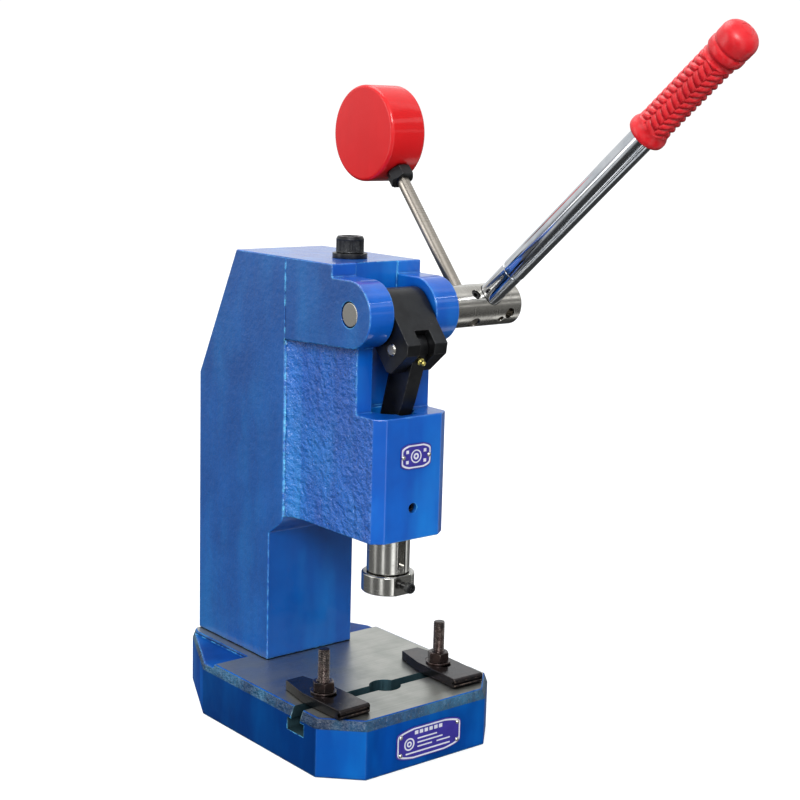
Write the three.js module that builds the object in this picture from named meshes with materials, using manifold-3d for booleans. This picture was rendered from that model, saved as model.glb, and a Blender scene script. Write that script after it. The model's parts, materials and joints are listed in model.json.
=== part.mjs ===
// Hand arbor press with a toggle drive, a counterweight and two table clamps.
// Millimetres, +X to the operator's right, +Y to the back, +Z up.
// Inside this file Y = 0 is the front face of the base; the exported group is
// moved so that its origin is on the underside of the base, at BASE_CENTRE_Y.
import * as THREE from "three";
import { mergeVertices } from "three/addons/utils/BufferGeometryUtils.js";
import Module from "manifold-3d";

const library = await Module();
library.setup();

// ---- driving dimensions -------------------------------------------------

const CLEARANCE = 0.3; // between pieces that touch
const RUNNING_FIT = 0.08; // radial, where a piece turns or slides

// Facets round a full turn
const SIDES_LARGE = 48;
const SIDES = 32;
const SIDES_SMALL = 20;
const SIDES_TINY = 12;

// Base plate
const BASE_HALF_WIDTH = 90;
const BASE_HEIGHT = 48;
const BASE_BACK_Y = 270;
const BASE_CENTRE_Y = 135;
const BASE_CORNER = 28.5; // front corners, cut at 45 degrees
const BASE_TAPER_START_Y = 190; // the sides narrow from here to the back
const BASE_TAPER_END = [53, 266];
const BASE_BEVEL_HEIGHT = 8;
const BASE_BEVEL_INSET = 2.8;
const SHELF_DROP = 3; // cast shelf beside the column, below the machined top
const SHELF_FRONT_Y = 177;
const SHELF_INNER_X = 54;

// The ram, the die hole, the T-slot and the cross shaft share one Y
const PRESS_Y = 55;
const DIE_HOLE_RADIUS = 13;
const SLOT_NECK_WIDTH = 12;
const SLOT_WIDE_WIDTH = 22;
const SLOT_WIDE_BOTTOM = 28;
const SLOT_WIDE_TOP = 38;

// Column and head casting
const COLUMN_HALF_WIDTH = 45;
const COLUMN_FRONT_Y = 160;
const COLUMN_BACK_Y = 268;
const UPPER_FRONT_Y = 140;
const TOP_BOLT_Y = 114;
const TOP_WASHER_THICKNESS = 4;
const OVERHANG_Z = 160;
const FRAME_TOP = 394;
const SLOPE_START_Z = 282;
const TOP_BACK_Y = 212;
const CAP_FRONT_Y = 78;
const EAR_BOTTOM_BACK_Z = 327;
const HEAD_HALF_WIDTH = 37;
const HEAD_FRONT_Y = 26;
const HEAD_FRONT_HALF_WIDTH = 27.5;
const HEAD_CHAMFER_Y = 33;
const HEAD_BOTTOM = 178;
const LEDGE_Z = 278;
const CHEEK_FRONT_Y = 54;
const POCKET_HALF_WIDTH = 21;
const POCKET_BACK_Y = 79; // a step of 1 mm in the front of the cap
const WEB_FILLET_Y = 119;

// Cross shaft and toggle
const SHAFT_Z = 357;
const SHAFT_RADIUS = 10;
const BOSS_RADIUS = 26.5;
const SHAFT_HEAD_RADIUS = 17.4;
const SHAFT_HEAD_START_X = 49.3;
const SHAFT_HEAD_END_X = 122;
const BUSH_RADIUS = 13;
const BUSH_OUTER_X = 40;
const YOKE_LEAN = THREE.MathUtils.degToRad(40); // forward of straight down
const YOKE_LENGTH = 34; // shaft axis to knee axis
const YOKE_HALF_WIDTH = 20;
const YOKE_TOP_RADIUS = 19;
const YOKE_BACK = 16;
const YOKE_END = 48.5;
const FORK_HALF_WIDTH = 7.2;
const KNEE_PIN_RADIUS = 5;
const LINK_LENGTH = 70; // knee axis to ram pin axis
const LINK_HALF_WIDTH = 6.8;
const LINK_TOP_RADIUS = 12.5;
const LINK_END_RADIUS = 9.5;
const RAM_PIN_RADIUS = 5;
const RAM_PIN_HALF_LENGTH = 12.5; // stays inside the ram's bore as the link swings

// Ram and collar
const RAM_RADIUS = 17.4;
const RAM_BOTTOM = 130;
const RAM_TOP = 272.5;
const RAM_SPIGOT_RADIUS = 14;
const TOOL_BORE_RADIUS = 8;
const TOOL_BORE_DEPTH = 36;
const COLLAR_RADIUS = 21.5;
const COLLAR_HEIGHT = 16;
const COLLAR_FLAT_Y = PRESS_Y - 19.5;
const KEYWAY_WIDTH = 6.6;
const KEYWAY_DEPTH = 4;
const KEYWAY_BOTTOM_Z = 152;
const KEYWAY_TOP_Z = 246;
const GUIDE_SCREW_Z = 204;

// Lever and counterweight, both set radially in the head of the cross shaft
const LEVER_X = 91;
const LEVER_LEAN = THREE.MathUtils.degToRad(50); // forward of straight up
const LEVER_ROD_RADIUS = 9.6;
const LEVER_TUBE_RADIUS = 10;
const LEVER_STEP = 50; // from the shaft axis to the lower end of the tube
const GRIP_START = 223;
const GRIP_END = 337;
const GRIP_NECK = 310.5; // where the knob starts
const WEIGHT_X = 74;
const WEIGHT_LEAN = THREE.MathUtils.degToRad(-41); // behind straight up
const WEIGHT_ROD_RADIUS = 5.3;
const WEIGHT_DISTANCE = 179;
const WEIGHT_RADIUS = 40.5;
const WEIGHT_WIDTH = 36.5;

// Table clamps
const CLAMPS = [
  { side: "left", x: -63, turn: 1 },
  { side: "right", x: 57, turn: -2 },
];
const CLAMP_THICKNESS = 8;
const CLAMP_WASHER_THICKNESS = 1.6;
const CLAMP_NUT_HEIGHT = 8;
const STUD_RADIUS = 4.9;
const STUD_TOP = 92;

// ---- materials ----------------------------------------------------------

const metal = (color, roughness, metalness = 1) =>
  new THREE.MeshStandardMaterial({ color, roughness, metalness });

const bluePaint = metal(0x1c4fa8, 0.35, 0);
const redPaint = metal(0xd02a2c, 0.3, 0);
const redPlastic = metal(0xd22f34, 0.5, 0);
const brightSteel = metal(0xb9bab6, 0.25);
const chrome = metal(0xd6d8da, 0.12);
const blackSteel = metal(0x1d1e20, 0.45, 0.8);
const bronze = metal(0xa97c3e, 0.4);
const brass = metal(0xc4ad5c, 0.3);
const labelPurple = metal(0x3b3596, 0.4, 0.2);

// ---- solids from three.js geometry --------------------------------------

// A closed geometry as a solid: one vertex per corner, no empty triangles,
// and its faces turned outwards.
function toSolid(source) {
  const bare = source.clone();
  bare.deleteAttribute("normal");
  bare.deleteAttribute("uv");
  const merged = mergeVertices(bare, 1e-4);
  const place = merged.attributes.position.array;
  const index = merged.index.array;
  const triangles = [];
  let volume = 0;
  for (let i = 0; i < index.length; i += 3) {
    const [a, b, c] = index.slice(i, i + 3);
    if (a === b || b === c || c === a) continue;
    triangles.push(a, b, c);
    const [p, q, r] = [a, b, c].map((k) => new THREE.Vector3().fromArray(place, 3 * k));
    volume += p.dot(q.cross(r));
  }
  if (volume < 0) triangles.reverse();
  return new library.Manifold(
    new library.Mesh({
      numProp: 3,
      vertProperties: new Float32Array(place),
      triVerts: new Uint32Array(triangles),
    }),
  );
}

function toGeometry(solid) {
  const mesh = solid.getMesh();
  const geometry = new THREE.BufferGeometry();
  geometry.setAttribute("position", new THREE.BufferAttribute(mesh.vertProperties, 3));
  geometry.setIndex(new THREE.BufferAttribute(mesh.triVerts, 1));
  geometry.computeVertexNormals();
  return geometry;
}

function moved(geometry, x, y, z) {
  return geometry.translate(x, y, z);
}

function box(x, y, z) {
  const geometry = new THREE.BoxGeometry(x[1] - x[0], y[1] - y[0], z[1] - z[0]);
  return toSolid(moved(geometry, (x[0] + x[1]) / 2, (y[0] + y[1]) / 2, (z[0] + z[1]) / 2));
}

// A cylinder along one axis; `at` gives the two other coordinates, in x, y, z order.
function cylinder(axis, radius, from, to, at, sides = SIDES) {
  const geometry = new THREE.CylinderGeometry(radius, radius, to - from, sides);
  const middle = (from + to) / 2;
  if (axis === "x") return toSolid(moved(geometry.rotateZ(-Math.PI / 2), middle, at[0], at[1]));
  if (axis === "y") return toSolid(moved(geometry, at[0], middle, at[1]));
  return toSolid(moved(geometry.rotateX(Math.PI / 2), at[0], at[1], middle));
}

function outline(points) {
  return new THREE.Shape(points.map(([x, y]) => new THREE.Vector2(x, y)));
}

// An outline in X and Y, extruded up from `bottom` to `top`.
function plate(shape, bottom, top) {
  const settings = { depth: top - bottom, bevelEnabled: false, curveSegments: 10 };
  return toSolid(moved(new THREE.ExtrudeGeometry(shape, settings), 0, 0, bottom));
}

// An outline in X and Y with its top and bottom edges cut back by `inset` over `height`.
function bevelledPlate(shape, bottom, top, height, inset) {
  const settings = {
    depth: top - bottom - 2 * height,
    bevelThickness: height,
    bevelSize: inset,
    bevelOffset: -inset,
    bevelSegments: 1,
    curveSegments: 10,
  };
  return toSolid(moved(new THREE.ExtrudeGeometry(shape, settings), 0, 0, bottom + height));
}

// An outline in Y and Z, extruded along X from `left` to `right`.
function sideProfile(shape, left, right) {
  const settings = { depth: right - left, bevelEnabled: false, curveSegments: 10 };
  const geometry = new THREE.ExtrudeGeometry(shape, settings);
  const turn = new THREE.Matrix4().makeBasis(
    new THREE.Vector3(0, 1, 0),
    new THREE.Vector3(0, 0, 1),
    new THREE.Vector3(1, 0, 0),
  );
  return toSolid(moved(geometry.applyMatrix4(turn), left, 0, 0));
}

// An outline in X and Z, extruded along Y from `front` to `back`.
function frontProfile(shape, front, back) {
  const settings = { depth: back - front, bevelEnabled: false, curveSegments: 10 };
  const geometry = new THREE.ExtrudeGeometry(shape, settings);
  return toSolid(moved(geometry.rotateX(Math.PI / 2), 0, back, 0));
}

// A turned piece round Z: [radius, z] pairs that start and end on the axis.
function turned(profile, sides = SIDES) {
  const points = profile.map(([radius, z]) => new THREE.Vector2(radius, z));
  return toSolid(new THREE.LatheGeometry(points, sides).rotateX(Math.PI / 2));
}

// The points of an arc, from one angle to the other, in degrees.
function arc(centre, radius, from, to, steps) {
  return Array.from({ length: steps + 1 }, (_, i) => {
    const angle = THREE.MathUtils.degToRad(from + ((to - from) * i) / steps);
    return [centre[0] + radius * Math.cos(angle), centre[1] + radius * Math.sin(angle)];
  });
}

function hexagon(acrossFlats) {
  return outline(arc([0, 0], acrossFlats / Math.sqrt(3), 0, 300, 5));
}

const mirrored = (points) => points.map(([x, y]) => [-x, y]).reverse();

function unite(solids) {
  return solids.reduce((sum, solid) => sum.add(solid));
}

function cut(body, tools) {
  return tools.reduce((rest, tool) => rest.subtract(tool), body);
}

// ---- the scene graph ----------------------------------------------------

const press = new THREE.Group();
press.position.y = -BASE_CENTRE_Y;

const shaftAxis = new THREE.Group();
shaftAxis.position.set(0, PRESS_Y, SHAFT_Z);
press.add(shaftAxis);

// Groups turned about the shaft axis, in which a radial piece lies along +Z
function radialGroup(x, lean) {
  const group = new THREE.Group();
  group.position.x = x;
  group.rotation.x = lean;
  shaftAxis.add(group);
  return group;
}

const yokeGroup = radialGroup(0, -YOKE_LEAN);
const leverGroup = radialGroup(LEVER_X, LEVER_LEAN);
const weightGroup = radialGroup(WEIGHT_X, WEIGHT_LEAN);

const LINK_LEAN = Math.asin((YOKE_LENGTH * Math.sin(YOKE_LEAN)) / LINK_LENGTH);
const linkGroup = new THREE.Group();
linkGroup.position.set(
  0,
  -YOKE_LENGTH * Math.sin(YOKE_LEAN),
  -YOKE_LENGTH * Math.cos(YOKE_LEAN),
);
linkGroup.rotation.x = LINK_LEAN;
shaftAxis.add(linkGroup);
const RAM_PIN_Z = SHAFT_Z - YOKE_LENGTH * Math.cos(YOKE_LEAN) - LINK_LENGTH * Math.cos(LINK_LEAN);

function addPiece(name, solid, material, parent = press) {
  const mesh = new THREE.Mesh(toGeometry(solid), material);
  mesh.name = name;
  parent.add(mesh);
  return mesh;
}

// ---- base ---------------------------------------------------------------

const COLUMN_BOLTS = [
  { name: "front_left", x: -29, y: 177 },
  { name: "front_right", x: 29, y: 177 },
  { name: "rear_left", x: -29, y: 251 },
  { name: "rear_right", x: 29, y: 251 },
];
const COLUMN_BOLT_RADIUS = 5;
const COLUMN_BOLT_TOP = 74;
const POCKET_HEIGHT = 30;

function baseOutline() {
  const right = [
    [BASE_HALF_WIDTH - BASE_CORNER, 0],
    [BASE_HALF_WIDTH, BASE_CORNER],
    [BASE_HALF_WIDTH, BASE_TAPER_START_Y],
    BASE_TAPER_END,
    [BASE_TAPER_END[0] - 4, BASE_BACK_Y],
  ];
  return outline([...right, ...mirrored(right)]);
}

// The pocket cored into the underside, where the column bolts are reached.
function basePocket() {
  return box([-44, 44], [158, 262], [-1, POCKET_HEIGHT]);
}

function tSlot() {
  const half = BASE_HALF_WIDTH + 1;
  const across = (width) => [PRESS_Y - width / 2, PRESS_Y + width / 2];
  return [
    box([-half, half], across(SLOT_NECK_WIDTH), [SLOT_WIDE_BOTTOM, BASE_HEIGHT + 1]),
    box([-half, half], across(SLOT_WIDE_WIDTH), [SLOT_WIDE_BOTTOM, SLOT_WIDE_TOP]),
  ];
}

function basePlate() {
  const block = bevelledPlate(
    baseOutline(),
    -BASE_BEVEL_HEIGHT,
    BASE_HEIGHT,
    BASE_BEVEL_HEIGHT,
    BASE_BEVEL_INSET,
  );
  const below = box([-100, 100], [-10, 300], [-20, 0]);
  const shelves = [-1, 1].map((side) => {
    const reach = [side * SHELF_INNER_X, side * (BASE_HALF_WIDTH + 10)].sort((a, b) => a - b);
    const height = [BASE_HEIGHT - SHELF_DROP, BASE_HEIGHT + 1];
    return box(reach, [SHELF_FRONT_Y, BASE_BACK_Y + 10], height);
  });
  const boltHoles = COLUMN_BOLTS.map(({ x, y }) =>
    cylinder("z", COLUMN_BOLT_RADIUS + 0.5, -1, BASE_HEIGHT + 1, [x, y], SIDES_SMALL),
  );
  const dieHole = cylinder("z", DIE_HOLE_RADIUS, -1, BASE_HEIGHT + 1, [0, PRESS_Y]);
  return cut(block, [below, basePocket(), ...tSlot(), ...shelves, ...boltHoles, dieHole]);
}

// ---- column and head ----------------------------------------------------

// Side view of the full-width part: column, overhang, top, ears and bosses.
function columnSide() {
  return outline([
    [COLUMN_FRONT_Y, BASE_HEIGHT],
    [COLUMN_BACK_Y, BASE_HEIGHT],
    [COLUMN_BACK_Y, SLOPE_START_Z],
    [TOP_BACK_Y, FRAME_TOP],
    [CAP_FRONT_Y, FRAME_TOP],
    [CAP_FRONT_Y, SHAFT_Z + BOSS_RADIUS],
    ...arc([PRESS_Y, SHAFT_Z], BOSS_RADIUS, 90, 270, 20),
    [UPPER_FRONT_Y, EAR_BOTTOM_BACK_Z],
    [UPPER_FRONT_Y, HEAD_BOTTOM],
    [UPPER_FRONT_Y + 3, HEAD_BOTTOM - 6],
    [COLUMN_FRONT_Y, OVERHANG_Z],
  ]);
}

// Plan view of the narrower web, with concave fillets where it joins the column.
function webPlan(frontPoints) {
  const spread = COLUMN_HALF_WIDTH - HEAD_HALF_WIDTH;
  const depth = UPPER_FRONT_Y - WEB_FILLET_Y;
  const fillet = Array.from({ length: 7 }, (_, i) => {
    const angle = (i * Math.PI) / 12;
    return [
      COLUMN_HALF_WIDTH - spread * Math.cos(angle),
      WEB_FILLET_Y + depth * Math.sin(angle),
    ];
  });
  const right = [...frontPoints, ...fillet, [COLUMN_HALF_WIDTH, UPPER_FRONT_Y + 5]];
  return outline([...right, ...mirrored(right)]);
}

function headSolids() {
  const lower = [
    [HEAD_FRONT_HALF_WIDTH, HEAD_FRONT_Y],
    [HEAD_HALF_WIDTH, HEAD_CHAMFER_Y],
  ];
  const cheeks = [[HEAD_HALF_WIDTH, CHEEK_FRONT_Y]];
  return [
    plate(webPlan(lower), HEAD_BOTTOM, LEDGE_Z),
    plate(webPlan(cheeks), LEDGE_Z - 1, EAR_BOTTOM_BACK_Z + 10),
  ];
}

// The casting is hollow: one core in the column, a narrower one behind the ram.
function cores() {
  const lower = [
    [31, 200],
    [31, 228],
    [8, 256],
    [-8, 256],
    [-31, 228],
    [-31, 200],
    [-8, 172],
    [8, 172],
  ];
  const upper = [
    [152, COLUMN_BOLT_TOP + 14],
    [256, COLUMN_BOLT_TOP + 14],
    [256, 278],
    [205, 380],
    [152, 380],
  ];
  const cutForward = [[98, 192], [153, 192], [153, 376], [98, 376]];
  return [
    plate(outline(lower), BASE_HEIGHT - 1, COLUMN_BOLT_TOP + 16),
    sideProfile(outline(upper), -35, 35).subtract(
      box([-40, 40], [100, 172], [0, OVERHANG_Z + 30]),
    ),
    sideProfile(outline(cutForward), -24, 24),
  ];
}

function columnCasting() {
  const body = unite([
    sideProfile(columnSide(), -COLUMN_HALF_WIDTH, COLUMN_HALF_WIDTH),
    ...headSolids(),
  ]);
  const across = [-POCKET_HALF_WIDTH, POCKET_HALF_WIDTH];
  const pocket = box(across, [0, POCKET_BACK_Y], [LEDGE_Z, FRAME_TOP + 1]);
  const boreRadius = RAM_RADIUS + RUNNING_FIT;
  const ramBore = cylinder("z", boreRadius, 150, LEDGE_Z + 1, [0, PRESS_Y], SIDES_LARGE);
  const shaftHole = cylinder("x", SHAFT_RADIUS + 0.4, -50, 50, [PRESS_Y, SHAFT_Z]);
  const bushHoles = cylinder(
    "x",
    BUSH_RADIUS + RUNNING_FIT,
    -BUSH_OUTER_X - CLEARANCE,
    BUSH_OUTER_X + CLEARANCE,
    [PRESS_Y, SHAFT_Z],
  );
  const reliefFront = PRESS_Y - RAM_RADIUS - 4.5;
  const lipRelief = box([-8.5, 8.5], [reliefFront, PRESS_Y], [LEDGE_Z - 20, LEDGE_Z + 1]);
  const guideHole = cylinder("y", 4.1, 0, PRESS_Y - 10, [0, GUIDE_SCREW_Z], SIDES_SMALL);
  const topHole = cylinder("z", 7.1, 378, FRAME_TOP + 1, [0, TOP_BOLT_Y], SIDES_SMALL);
  const boltHoles = COLUMN_BOLTS.map(({ x, y }) =>
    cylinder(
      "z",
      COLUMN_BOLT_RADIUS + 0.1,
      BASE_HEIGHT - 1,
      COLUMN_BOLT_TOP + 4,
      [x, y],
      SIDES_SMALL,
    ),
  );
  return cut(body, [
    pocket,
    ramBore,
    shaftHole,
    bushHoles,
    lipRelief,
    guideHole,
    topHole,
    ...boltHoles,
    ...cores(),
  ]);
}

// ---- fasteners ----------------------------------------------------------

// A socket-head screw along +Z: the head's underside is at z = 0, the shank below.
function capScrew(shankRadius, shankLength, headRadius, headHeight, socketAcross) {
  const edge = headHeight * 0.12;
  const body = turned(
    [
      [0, -shankLength],
      [shankRadius - 0.6, -shankLength],
      [shankRadius, -shankLength + 0.8],
      [shankRadius, 0],
      [headRadius, 0],
      [headRadius, headHeight - edge],
      [headRadius - edge, headHeight],
      [0, headHeight],
    ],
    SIDES_SMALL,
  );
  return body.subtract(plate(hexagon(socketAcross), headHeight * 0.4, headHeight + 1));
}

// A headless screw along +Z, from z = 0 to z = length, with its socket at the top.
function setScrew(radius, length, socketAcross) {
  const body = turned(
    [
      [0, 0],
      [radius - 0.8, 0],
      [radius, 0.8],
      [radius, length - 0.4],
      [radius - 0.4, length],
      [0, length],
    ],
    SIDES_SMALL,
  );
  return body.subtract(plate(hexagon(socketAcross), length - 3.5, length + 1));
}

function ring(outer, inner, bottom, top, sides = SIDES) {
  return cylinder("z", outer, bottom, top, [0, 0], sides).subtract(
    cylinder("z", inner, bottom - 1, top + 1, [0, 0], sides),
  );
}

function hexNut(acrossFlats, holeRadius, bottom, top) {
  const cone = turned(
    [
      [0, bottom - 3],
      [acrossFlats / 2 - 0.3, bottom],
      [acrossFlats / 2 + 6, bottom + 3.2],
      [acrossFlats / 2 + 6, top - 3.2],
      [acrossFlats / 2 - 0.3, top],
      [0, top + 3],
    ],
    SIDES,
  );
  const nut = plate(hexagon(acrossFlats), bottom, top).intersect(cone);
  return nut.subtract(cylinder("z", holeRadius, bottom - 1, top + 1, [0, 0], SIDES_SMALL));
}

function addFrame() {
  addPiece("base_plate", basePlate(), bluePaint);
  addPiece("column_casting", columnCasting(), bluePaint);
  for (const { name, x, y } of COLUMN_BOLTS) {
    const headUnderside = POCKET_HEIGHT - CLEARANCE;
    const length = COLUMN_BOLT_TOP - headUnderside;
    const bolt = addPiece(
      `column_bolt_${name}`,
      capScrew(COLUMN_BOLT_RADIUS - 0.1, length, 8, 10, 8),
      blackSteel,
    );
    bolt.position.set(x, y, headUnderside);
    bolt.rotation.x = Math.PI;
  }
  const washerTop = FRAME_TOP + TOP_WASHER_THICKNESS;
  const washer = ring(14.2, 7.6, FRAME_TOP + 0.05, washerTop);
  addPiece("top_bolt_washer", washer, blackSteel).position.set(0, TOP_BOLT_Y, 0);
  const bolt = addPiece("top_bolt", capScrew(6.9, 18, 11.3, 13.5, 12), blackSteel);
  bolt.position.set(0, TOP_BOLT_Y, washerTop + 0.05);
}

// Bronze bushes pressed into the two bosses from the inside.
function addBushes() {
  for (const [side, name] of [[-1, "left"], [1, "right"]]) {
    const ends = [side * POCKET_HALF_WIDTH, side * BUSH_OUTER_X].sort((a, b) => a - b);
    const centre = [PRESS_Y, SHAFT_Z];
    const bush = cylinder("x", BUSH_RADIUS, ends[0], ends[1], centre).subtract(
      cylinder("x", SHAFT_RADIUS + RUNNING_FIT, ends[0] - 1, ends[1] + 1, centre),
    );
    addPiece(`shaft_bush_${name}`, bush, bronze);
  }
}

// ---- cross shaft, yoke and levers ---------------------------------------

const KEY_HALF_WIDTH = 3;
const KEY_HALF_LENGTH = 15;
const KEY_BOTTOM = 6.6;
const KEY_TOP = 12.8;
const LEVER_SOCKET_FLOOR = 9.5;
const LEVER_SPIGOT_RADIUS = 6;
const LEVER_SPIGOT_DEPTH = 8;
const ROD_FOOT = -16;
const SPARE_HOLE = { x: 109.5, lean: THREE.MathUtils.degToRad(112), radius: 4.6 };
const SMALL_HOLE = { x: 101.5, lean: THREE.MathUtils.degToRad(129), radius: 2.6 };

function tilted(solidGeometry, lean, x) {
  return toSolid(solidGeometry.rotateX(Math.PI / 2).rotateX(lean).translate(x, 0, 0));
}

// A radial hole in the shaft head, given by its lean from straight up.
function radialHole(x, lean, radius, from, to) {
  const hole = new THREE.CylinderGeometry(radius, radius, to - from, SIDES);
  return tilted(hole.translate(0, -(from + to) / 2, 0).rotateX(Math.PI), lean, x);
}

function crossShaft() {
  const journal = cylinder("x", SHAFT_RADIUS, -44.4, SHAFT_HEAD_START_X + 1, [0, 0]);
  const edge = 1;
  const head = turned([
    [0, SHAFT_HEAD_START_X],
    [SHAFT_HEAD_RADIUS - edge, SHAFT_HEAD_START_X],
    [SHAFT_HEAD_RADIUS, SHAFT_HEAD_START_X + edge],
    [SHAFT_HEAD_RADIUS, SHAFT_HEAD_END_X - edge],
    [SHAFT_HEAD_RADIUS - edge, SHAFT_HEAD_END_X],
    [0, SHAFT_HEAD_END_X],
  ]);
  const alongX = head.rotate([0, 90, 0]);
  const keySeat = yokeFrame(
    box(
      [-KEY_HALF_LENGTH - CLEARANCE, KEY_HALF_LENGTH + CLEARANCE],
      [-KEY_HALF_WIDTH - CLEARANCE, KEY_HALF_WIDTH + CLEARANCE],
      [KEY_BOTTOM - CLEARANCE, 20],
    ),
  );
  return cut(journal.add(alongX), [
    keySeat,
    radialHole(WEIGHT_X, WEIGHT_LEAN, WEIGHT_ROD_RADIUS + CLEARANCE, -30, 30),
    radialHole(WEIGHT_X, LEVER_LEAN, 4.1, 0, 30),
    radialHole(LEVER_X, LEVER_LEAN, LEVER_ROD_RADIUS + CLEARANCE, LEVER_SOCKET_FLOOR, 30),
    radialHole(LEVER_X, LEVER_LEAN, LEVER_SPIGOT_RADIUS + CLEARANCE, -LEVER_SPIGOT_DEPTH - 1, 30),
    radialHole(SPARE_HOLE.x, SPARE_HOLE.lean, SPARE_HOLE.radius, -30, 30),
    radialHole(SMALL_HOLE.x, SMALL_HOLE.lean, SMALL_HOLE.radius, 11, 30),
  ]);
}

// A solid drawn in the yoke's own directions, turned to where the yoke leans.
function yokeFrame(solid) {
  return solid.rotate([THREE.MathUtils.radToDeg(-YOKE_LEAN), 0, 0]);
}

function shaftKey() {
  return box(
    [-KEY_HALF_LENGTH, KEY_HALF_LENGTH],
    [-KEY_HALF_WIDTH, KEY_HALF_WIDTH],
    [KEY_BOTTOM, KEY_TOP],
  );
}

// The yoke hangs along -Z from the shaft; its front face is towards -Y.
function yoke() {
  const backAngle = THREE.MathUtils.radToDeg(Math.asin(YOKE_BACK / YOKE_TOP_RADIUS));
  const block = outline([
    [-YOKE_TOP_RADIUS, -42.8],
    [-12.6, -YOKE_END],
    [12, -YOKE_END],
    [YOKE_BACK, -44.5],
    ...arc([0, 0], YOKE_TOP_RADIUS, 90 - backAngle, 180, 14),
  ]);
  const fork = outline([
    [-22, -60],
    [-22, -30],
    [-10.5, -30],
    [-7.5, -22],
    [17.5, -8.6],
    [25, -8.6],
    [25, -60],
  ]);
  const knee = [0, -YOKE_LENGTH];
  return cut(sideProfile(block, -YOKE_HALF_WIDTH, YOKE_HALF_WIDTH), [
    sideProfile(fork, -FORK_HALF_WIDTH, FORK_HALF_WIDTH),
    cylinder("x", LINK_TOP_RADIUS + 0.9, -FORK_HALF_WIDTH, FORK_HALF_WIDTH, knee),
    cylinder("x", SHAFT_RADIUS + 0.05, -30, 30, [0, 0]),
    cylinder("x", KNEE_PIN_RADIUS + 0.05, -30, 30, knee, SIDES_SMALL),
    box(
      [-YOKE_HALF_WIDTH - 1, YOKE_HALF_WIDTH + 1],
      [-KEY_HALF_WIDTH - 0.05, KEY_HALF_WIDTH + 0.05],
      [0, KEY_TOP + CLEARANCE],
    ),
  ]);
}

function addShaftAssembly() {
  addPiece("cross_shaft", crossShaft(), brightSteel, shaftAxis);
  const washer = ring(18.6, SHAFT_RADIUS + 0.3, 0, 3.4).rotate([0, 90, 0]);
  addPiece("thrust_washer", washer, brightSteel, shaftAxis).position.x = COLUMN_HALF_WIDTH + 0.5;
  addPiece("shaft_key", shaftKey(), brightSteel, yokeGroup);
  addPiece("yoke", yoke(), blackSteel, yokeGroup);
  const pinHalf = YOKE_HALF_WIDTH + 0.6;
  const kneePin = cylinder("x", KNEE_PIN_RADIUS, -pinHalf, pinHalf, [0, -YOKE_LENGTH], SIDES_SMALL);
  addPiece("knee_pin", kneePin, brightSteel, yokeGroup);
}

// ---- lower link ---------------------------------------------------------

const NIPPLE_DROP = 5; // below the knee axis, on the front of the link

// The link hangs along -Z from the knee; its front face is towards -Y.
function lowerLink() {
  const profile = outline([
    ...arc([0, 0], LINK_TOP_RADIUS, 0, 180, 16),
    [-LINK_TOP_RADIUS, -42],
    ...arc([0, -LINK_LENGTH], LINK_END_RADIUS, 180, 360, 12),
  ]);
  return cut(sideProfile(profile, -LINK_HALF_WIDTH, LINK_HALF_WIDTH), [
    cylinder("x", KNEE_PIN_RADIUS + RUNNING_FIT, -20, 20, [0, 0], SIDES_SMALL),
    cylinder("x", RAM_PIN_RADIUS + 0.05, -20, 20, [0, -LINK_LENGTH], SIDES_SMALL),
    cylinder("y", 2.3, -20, -8.5, [0, -NIPPLE_DROP], SIDES_TINY),
  ]);
}

function greaseNipple() {
  return turned(
    [
      [0, -3.2],
      [2, -3.2],
      [2, 0.2],
      [3, 0.2],
      [3, 1.8],
      [1.8, 2.4],
      [1.5, 3.4],
      [2.2, 4.4],
      [2, 5.6],
      [0.8, 6.4],
      [0, 6.4],
    ],
    SIDES_TINY,
  );
}

function addLink() {
  addPiece("lower_link", lowerLink(), blackSteel, linkGroup);
  const nipple = addPiece("grease_nipple", greaseNipple(), brass, linkGroup);
  nipple.position.set(0, -LINK_TOP_RADIUS - 0.2, -NIPPLE_DROP);
  nipple.rotation.x = Math.PI / 2;
  const half = RAM_PIN_HALF_LENGTH;
  const pin = cylinder("x", RAM_PIN_RADIUS, -half, half, [0, -LINK_LENGTH], SIDES_SMALL);
  addPiece("ram_pin", pin, brightSteel, linkGroup);
}

// ---- ram, collar and screws ---------------------------------------------

const COLLAR_SCREW_Z = RAM_BOTTOM + 8;
const SEAT_CLEARANCE = 0.8;
const SEAT_WIDENING = 7; // towards the back, so that the link can lift away

// Open-topped seats for the ram pin, which give the toggle its clearance.
function pinSeat() {
  const radius = RAM_PIN_RADIUS + SEAT_CLEARANCE;
  return outline([
    ...arc([PRESS_Y, RAM_PIN_Z], radius, 180, 330, 10),
    [PRESS_Y + radius + SEAT_WIDENING, RAM_PIN_Z + 3.5],
    [PRESS_Y + radius + SEAT_WIDENING, RAM_TOP + 1],
    [PRESS_Y - radius, RAM_TOP + 1],
  ]);
}

function keyway() {
  const half = KEYWAY_WIDTH / 2;
  const ends = [KEYWAY_BOTTOM_Z + half, KEYWAY_TOP_Z - half];
  const shape = outline([
    ...arc([0, ends[0]], half, 180, 360, 10),
    ...arc([0, ends[1]], half, 0, 180, 10),
  ]);
  return frontProfile(shape, PRESS_Y - RAM_RADIUS - 2, PRESS_Y - RAM_RADIUS + KEYWAY_DEPTH);
}

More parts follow.
